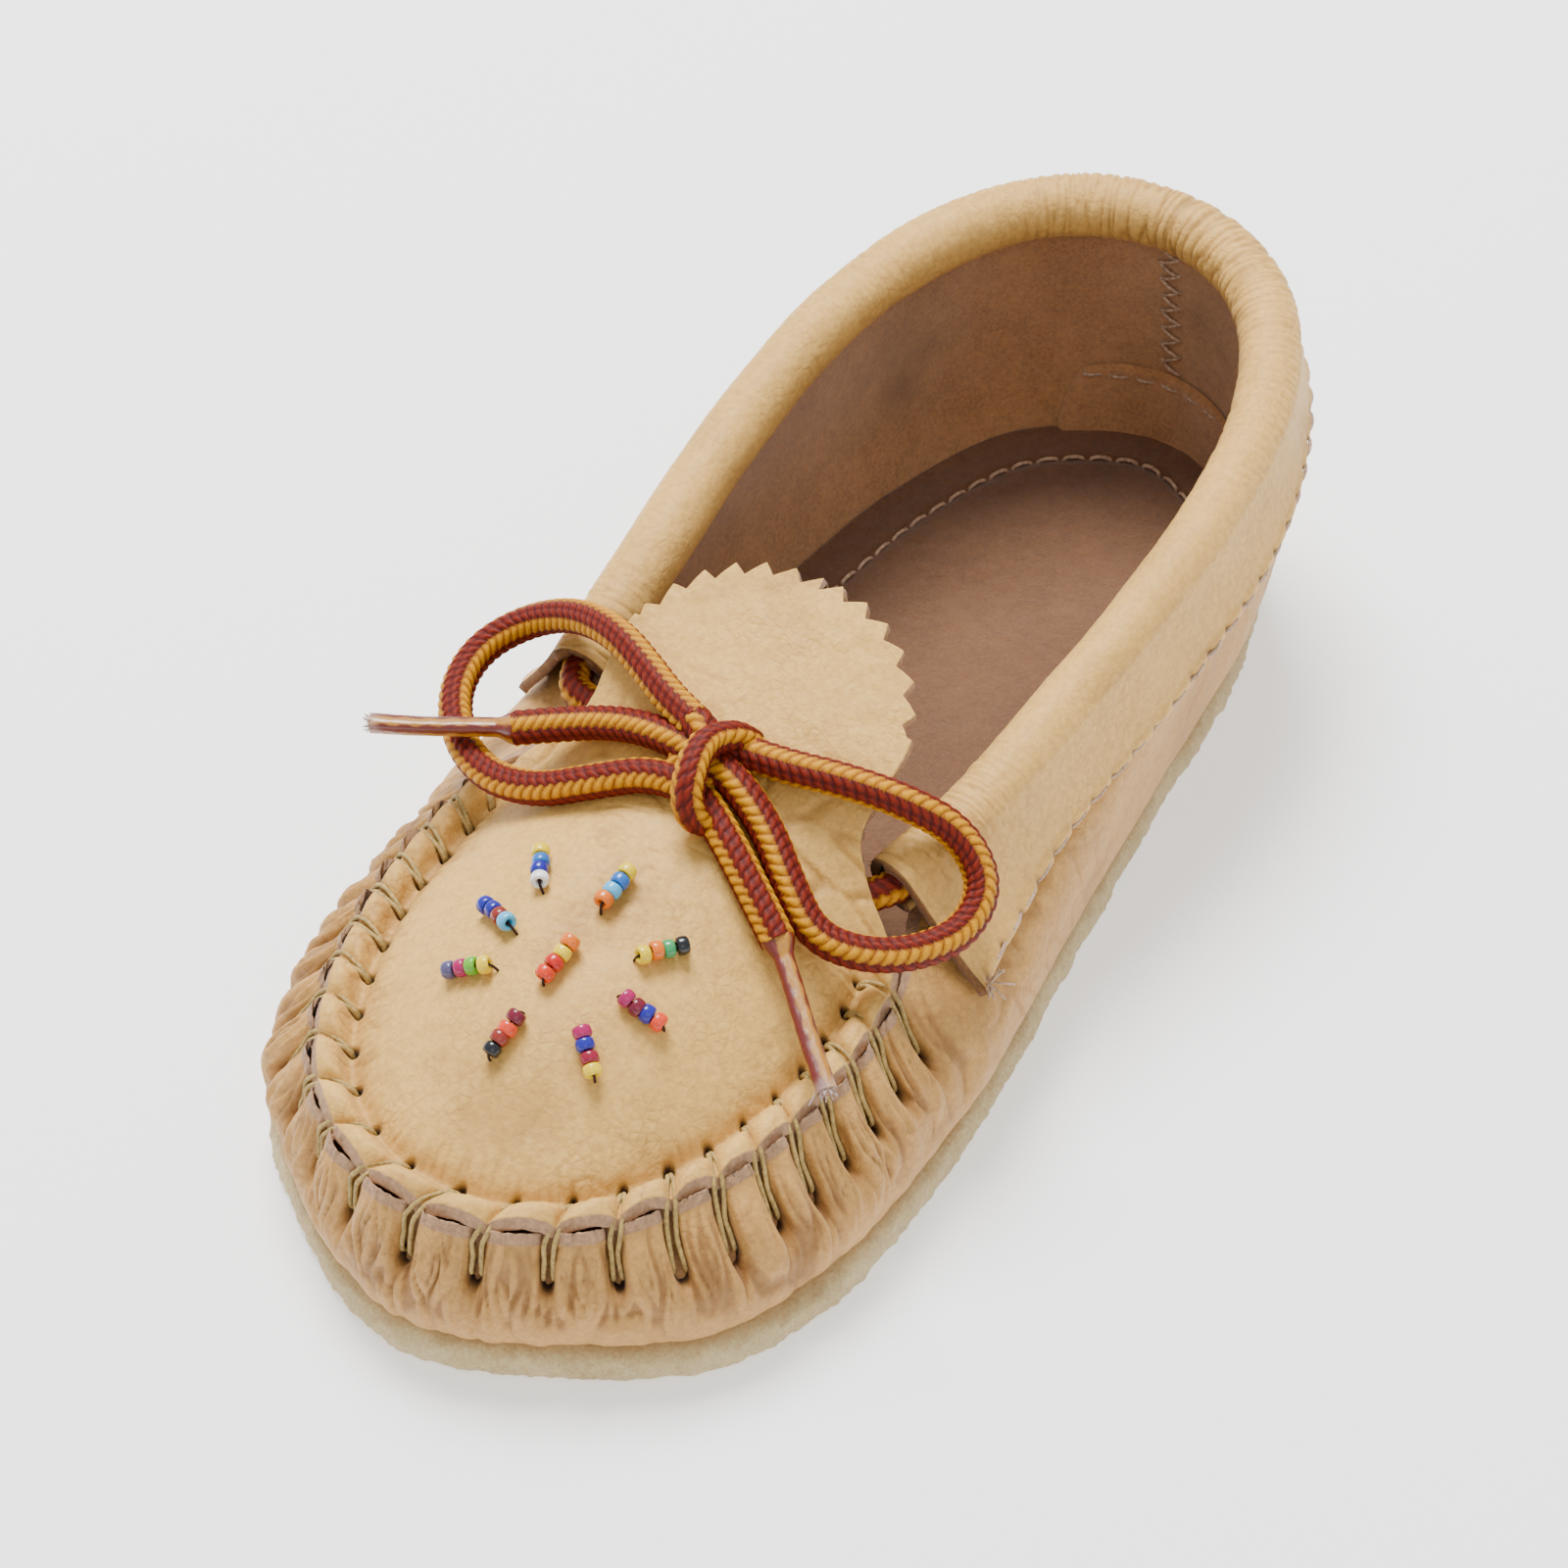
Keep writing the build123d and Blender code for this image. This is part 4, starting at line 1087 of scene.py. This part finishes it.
def make_bead(centre, axis, tone, size):
    """Round glass seed bead with its bore."""
    turn = np.linspace(0, 2 * np.pi, 28, endpoint=False)
    around = np.linspace(0, 2 * np.pi, 36, endpoint=False)
    wall = (BEAD_R - BEAD_BORE_R) / 2
    c, s = np.cos(turn), np.sin(turn)
    radial = BEAD_BORE_R + wall + wall * np.sign(c) * np.abs(c) ** 0.85
    axial = BEAD_LENGTH / 2 * np.sign(s) * np.abs(s) ** 0.8
    side = normalized(np.cross(axis, [0.3, 0.2, 1.0]))
    up = np.cross(axis, side)
    rings = np.cos(around)[:, None] * side + np.sin(around)[:, None] * up
    points = centre + size * (radial[:, None, None] * rings[None] + axial[:, None, None] * axis)
    faces = grid_faces(len(turn), len(around), wrap_rows=True, wrap_columns=True)
    tint = np.tile(colour(tone)[:3], (len(turn) * len(around), 1))
    return points.reshape(-1, 3), faces, tint


def make_beads():
    strings, thread_paths = [], []
    for name, x, y, heading, tones in BEAD_STRINGS:
        centre, along, normal = string_frame(x, y, heading)
        points, faces, tints, start = [], [], [], 0
        for k, tone in enumerate(tones):
            place = centre + along * ((k - 1.5) * BEAD_PITCH) + rng.normal(0, 0.05, 3) + normal * 0.02
            axis = normalized(along + rng.normal(0, 0.06, 3))
            p, f, tint = make_bead(place, axis, BEAD_TONES[tone], 0.97 + 0.06 * rng.random())
            points.append(p)
            faces += (np.array(f) + start).tolist()
            tints.append(tint)
            start += len(p)
        glass_name = "glass_" + name[5:]
        strings.append((name, make_object(glass_name, np.vstack(points), faces, colours=np.vstack(tints))))
        far = along * (2 * BEAD_PITCH + 0.12)
        sink = normal * (BEAD_R + BEAD_LIFT + 0.9)
        thread_paths.append(spline_through([centre - far * 1.05 - sink, centre - far - normal * 0.7,
                                            centre - far * 0.8, centre, centre + far * 0.8,
                                            centre + far - normal * 0.7, centre + far * 1.05 - sink], 60))
    return strings, thread_paths


# ---- put the shoe together
vamp_skin = leather("vamp_leather", (228, 180, 94), (118, 66, 20), (146, 114, 86))
# the body's leather is the vamp's tan made darker: painted shade for the sides and the toe, which lie in more
# shade than the vamp's top
body_skin_shaded = leather("body_leather", (202, 152, 82), (96, 50, 14), (146, 114, 86), grain=1.15)
collar_skin = leather("collar_leather", (222, 174, 92), (104, 58, 16), (104, 72, 42), grain=0.7)
flesh_side = suede("flesh_side", (178, 132, 86), (152, 106, 60))
sock_suede = suede("sock_suede", (108, 71, 40), (94, 60, 33))
tab_suede = suede("tab_suede", (176, 130, 86), (150, 104, 62))
sole_nap = suede("sole_nap", (232, 197, 140), (208, 166, 106), nap=1.9)
olive_thread = thread_material("olive_thread", (190, 160, 94))
pale_thread = thread_material("pale_thread", (208, 176, 148))
dark_thread = thread_material("dark_thread", (52, 26, 20))
lace_material = tinted("braid", 0.6, gloss=0.18)

vamp_piece = wear(make_vamp(), vamp_skin, "vamp", body=None, nodes=["vamp", "tongue"])
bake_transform(vamp_piece)

body_piece, is_flesh, body_shape = make_body()
wear(body_piece, body_skin_shaded, "body_upper")
body_piece.data.materials.append(flesh_side)
body_piece.data.polygons.foreach_set("material_index", is_flesh.astype(np.int32))

wear(make_collar(), collar_skin, "collar")
wear(make_sole(), sole_nap, "outsole")
wear(make_sock(), sock_suede, "insole_sock")
wear(tubes("seam_thread", make_toe_stitches(body_shape), 0.3), olive_thread, "toe_stitching")

left_line = route_line("lace_left", LOOP_LEFT_ROUTE)
right_line = route_line("lace_right", LOOP_RIGHT_ROUTE)
lace_left = wear(braid("braid_left", left_line, turn=0.5), lace_material, "lace_left")
lace_right = wear(braid("braid_right", right_line, turn=0.2), lace_material, "lace_right")
held_line = spline_through(LEAD_LEFT + COLLAR_LEFT + (HEEL_POINT,) + COLLAR_RIGHT + LEAD_RIGHT, 1500)
wear(braid("braid_in_collar", held_line, radius=2.05, per_wale=4), lace_material, "lace_in_collar")
knot = join([braid("knot_wrap", spline_through(KNOT_WRAP, 220), radius=2.15, turn=0.35, flatten=0.12),
             braid("knot_inlet", spline_through(KNOT_INLET, 60), radius=2.08, turn=0.5),
             braid("knot_heart", spline_through(KNOT_HEART, 60), radius=2.4, turn=0.9)], "knot_strands")
wear(knot, lace_material, "lace_knot")

clear_film = Nodes("clear_film").finish(Base_Color=(0.95, 0.93, 0.9, 1), Roughness=0.08,
                                        Transmission_Weight=1.0, IOR=1.25, Alpha=0.07)
pale_fray = thread_material("pale_fray", (226, 206, 196))
pinched_braid = tinted("pinched_braid", 0.35, coat=0.4)
for name, ends in (("aglet_left", AGLET_LEFT_ENDS), ("aglet_right", AGLET_RIGHT_ENDS)):
    filling, sleeve, fray = make_aglet(name, ends)
    wear(filling, pinched_braid, name)
    wear(sleeve, clear_film, name, nodes=[])
    wear(fray, pale_fray, name, nodes=[])

glass = tinted("bead_glass", 0.22, coat=0.35, bump=0.02, gloss=0.4)
strings, bead_thread_paths = make_beads()
for name, piece in strings:
    wear(piece, glass, name)
wear(tubes("bead_thread", bead_thread_paths, 0.17, 6), dark_thread, "bead_threads")


# ---- small stitches and the heel tab
def flap_lines(step=0.35):
    """Line just above the edge of the flap's outside, and its outward normals."""
    line, walked, out, up = collar_frames()
    tip, side = flap_section(line[:, 1])
    point = tip * 0.97 + side * 2.15
    places = line + out * point[:, :1] + up * point[:, 1:]
    places = sample(places, walked, np.arange(0.0, walked[-1], step))
    normals = normalized(out * 0.9 + up * 0.4)
    shares = np.linspace(0, 1, len(places))
    return places, sample(normals, np.linspace(0, 1, len(normals)), shares)


def heel_line(height, inset):
    """Inside of the heel at one height, from left to right."""
    line = inside_line(height, inset, 1400)
    line = line[line[:, 1] > 60]
    return line[np.argsort(line[:, 0])]


def make_heel_tab():
    """Suede tab over the foot of the heel seam, rounded at its upper corners."""
    rows, columns = 40, 90
    top, bottom = 19.0, SOCK_TOP - 0.5
    u = np.linspace(-1, 1, columns)[None, :]
    v = np.linspace(0, 1, rows)[:, None]
    x = u * (13.0 - 1.8 * v ** 3)
    height = bottom + (top - bottom - 1.4 * np.abs(u) ** 4) * v
    points = np.zeros((rows, columns, 3))
    for i in range(rows):
        wall = heel_line(float(height[i, columns // 2]), LEATHER + 0.15)
        points[i] = np.stack([x[i], np.interp(x[i], wall[:, 0], wall[:, 1]), height[i]], axis=1)
    normals = facing(grid_normals(points), (0, -1, 0))
    front = points + normals * (0.75 + 0.12 * noise(points, 5, 95))[..., None]
    from_edge = np.minimum((1 - np.abs(u)) * 13, (1 - v) * 11)
    front = front - normals * (0.7 * (1 - smooth(from_edge / 0.7)))[..., None]
    return make_object("suede_tab", front.reshape(-1, 3), grid_faces(rows, columns))


def heel_zigzag():
    """Zigzag stitches up the inside of the heel seam."""
    paths = []
    poke = np.array([0, 0.4, 0])
    for i in range(15):
        ends = []
        for j in (i, i + 1):
            height = 19.6 + 1.5 * j
            wall = heel_line(height, LEATHER)
            wall_y = wall[np.argmin(np.abs(wall[:, 0])), 1]
            ends.append(np.array([1.35 * (-1) ** j + rng.normal(0, 0.12), wall_y - 0.2, height]))
        middle = (ends[0] + ends[1]) / 2 + np.array([0, -0.35, 0])
        paths.append(spline_through([ends[0] + poke, ends[0], middle, ends[1], ends[1] + poke], 16))
    return paths


def frayed_end(place):
    """Tuft of fibres at the cut end of a thread."""
    paths = []
    for _ in range(9):
        lean = normalized(np.array([0.7, -0.6, 0.5]) + rng.normal(0, 0.55, 3))
        curl = rng.normal(0, 0.7, 3)
        paths.append(spline_through([place, place + lean * 0.9, place + lean * 1.7 + curl * 0.5,
                                     place + lean * 2.3 + curl], 14))
    return paths


flap_line, flap_normals = flap_lines()
sew("collar_thread", "collar_stitching", flap_line, flap_normals, 0.24, COLLAR_STITCH, share=0.86, lift=0.03,
    sink=1.0)
sew("sock_thread", "insole_stitching", inside_line(SOCK_TOP + 0.12, LEATHER + SOCK_SEAM + 0.2), UP, 0.27)
wear(make_heel_tab(), tab_suede, "heel_tab")
wear(make_pad(), suede("foam", (150, 118, 90), (132, 100, 74)), "sole_pad")
tab_line = heel_line(17.2, LEATHER + 0.95)
tab_line = tab_line[np.abs(tab_line[:, 0]) < 11.5]
sew("tab_thread", "heel_tab_stitching", tab_line, (0.0, -1.0, 0.0), 0.24, share=0.72, lift=0.1)
wear(tubes("heel_thread", heel_zigzag(), 0.24, 7), pale_thread, "heel_seam_stitching")
thread_end = tubes("collar_thread_end", frayed_end(flap_line[-4]), 0.13, 6)
wear(thread_end, pale_thread, "collar_stitching", nodes=[])


# ---- floor and lights
def add_stage():
    bpy.ops.mesh.primitive_plane_add(size=6, location=(0, 0, 0))
    floor = bpy.context.object
    floor.name = "floor"
    m = Nodes("floor")
    pale = m.mix(m.noise(40, 2), (0.94, 0.94, 0.94, 1), (0.96, 0.96, 0.96, 1))
    white = (1, 1, 1, 1)
    floor.data.materials.append(m.finish(Base_Color=pale, Roughness=0.9, Emission_Color=white,
                                         Emission_Strength=0.6))
    world = bpy.data.worlds.new("studio")
    world.use_nodes = True
    background = world.node_tree.nodes["Background"]
    background.inputs["Color"].default_value = white
    background.inputs["Strength"].default_value = 0.8
    bpy.context.scene.world = world
    for name, place, size, power in (("key", (-0.4, 0.32, 1.08), 0.55, 30.0),
                                     ("fill", (0.7, -0.8, 0.9), 0.9, 2.5)):
        data = bpy.data.lights.new(name, "AREA")
        data.size = size
        data.energy = power
        light = bpy.data.objects.new(name, data)
        light.location = place
        light.rotation_euler = Vector(place).to_track_quat("Z", "Y").to_euler()
        bpy.context.scene.collection.objects.link(light)


add_stage()
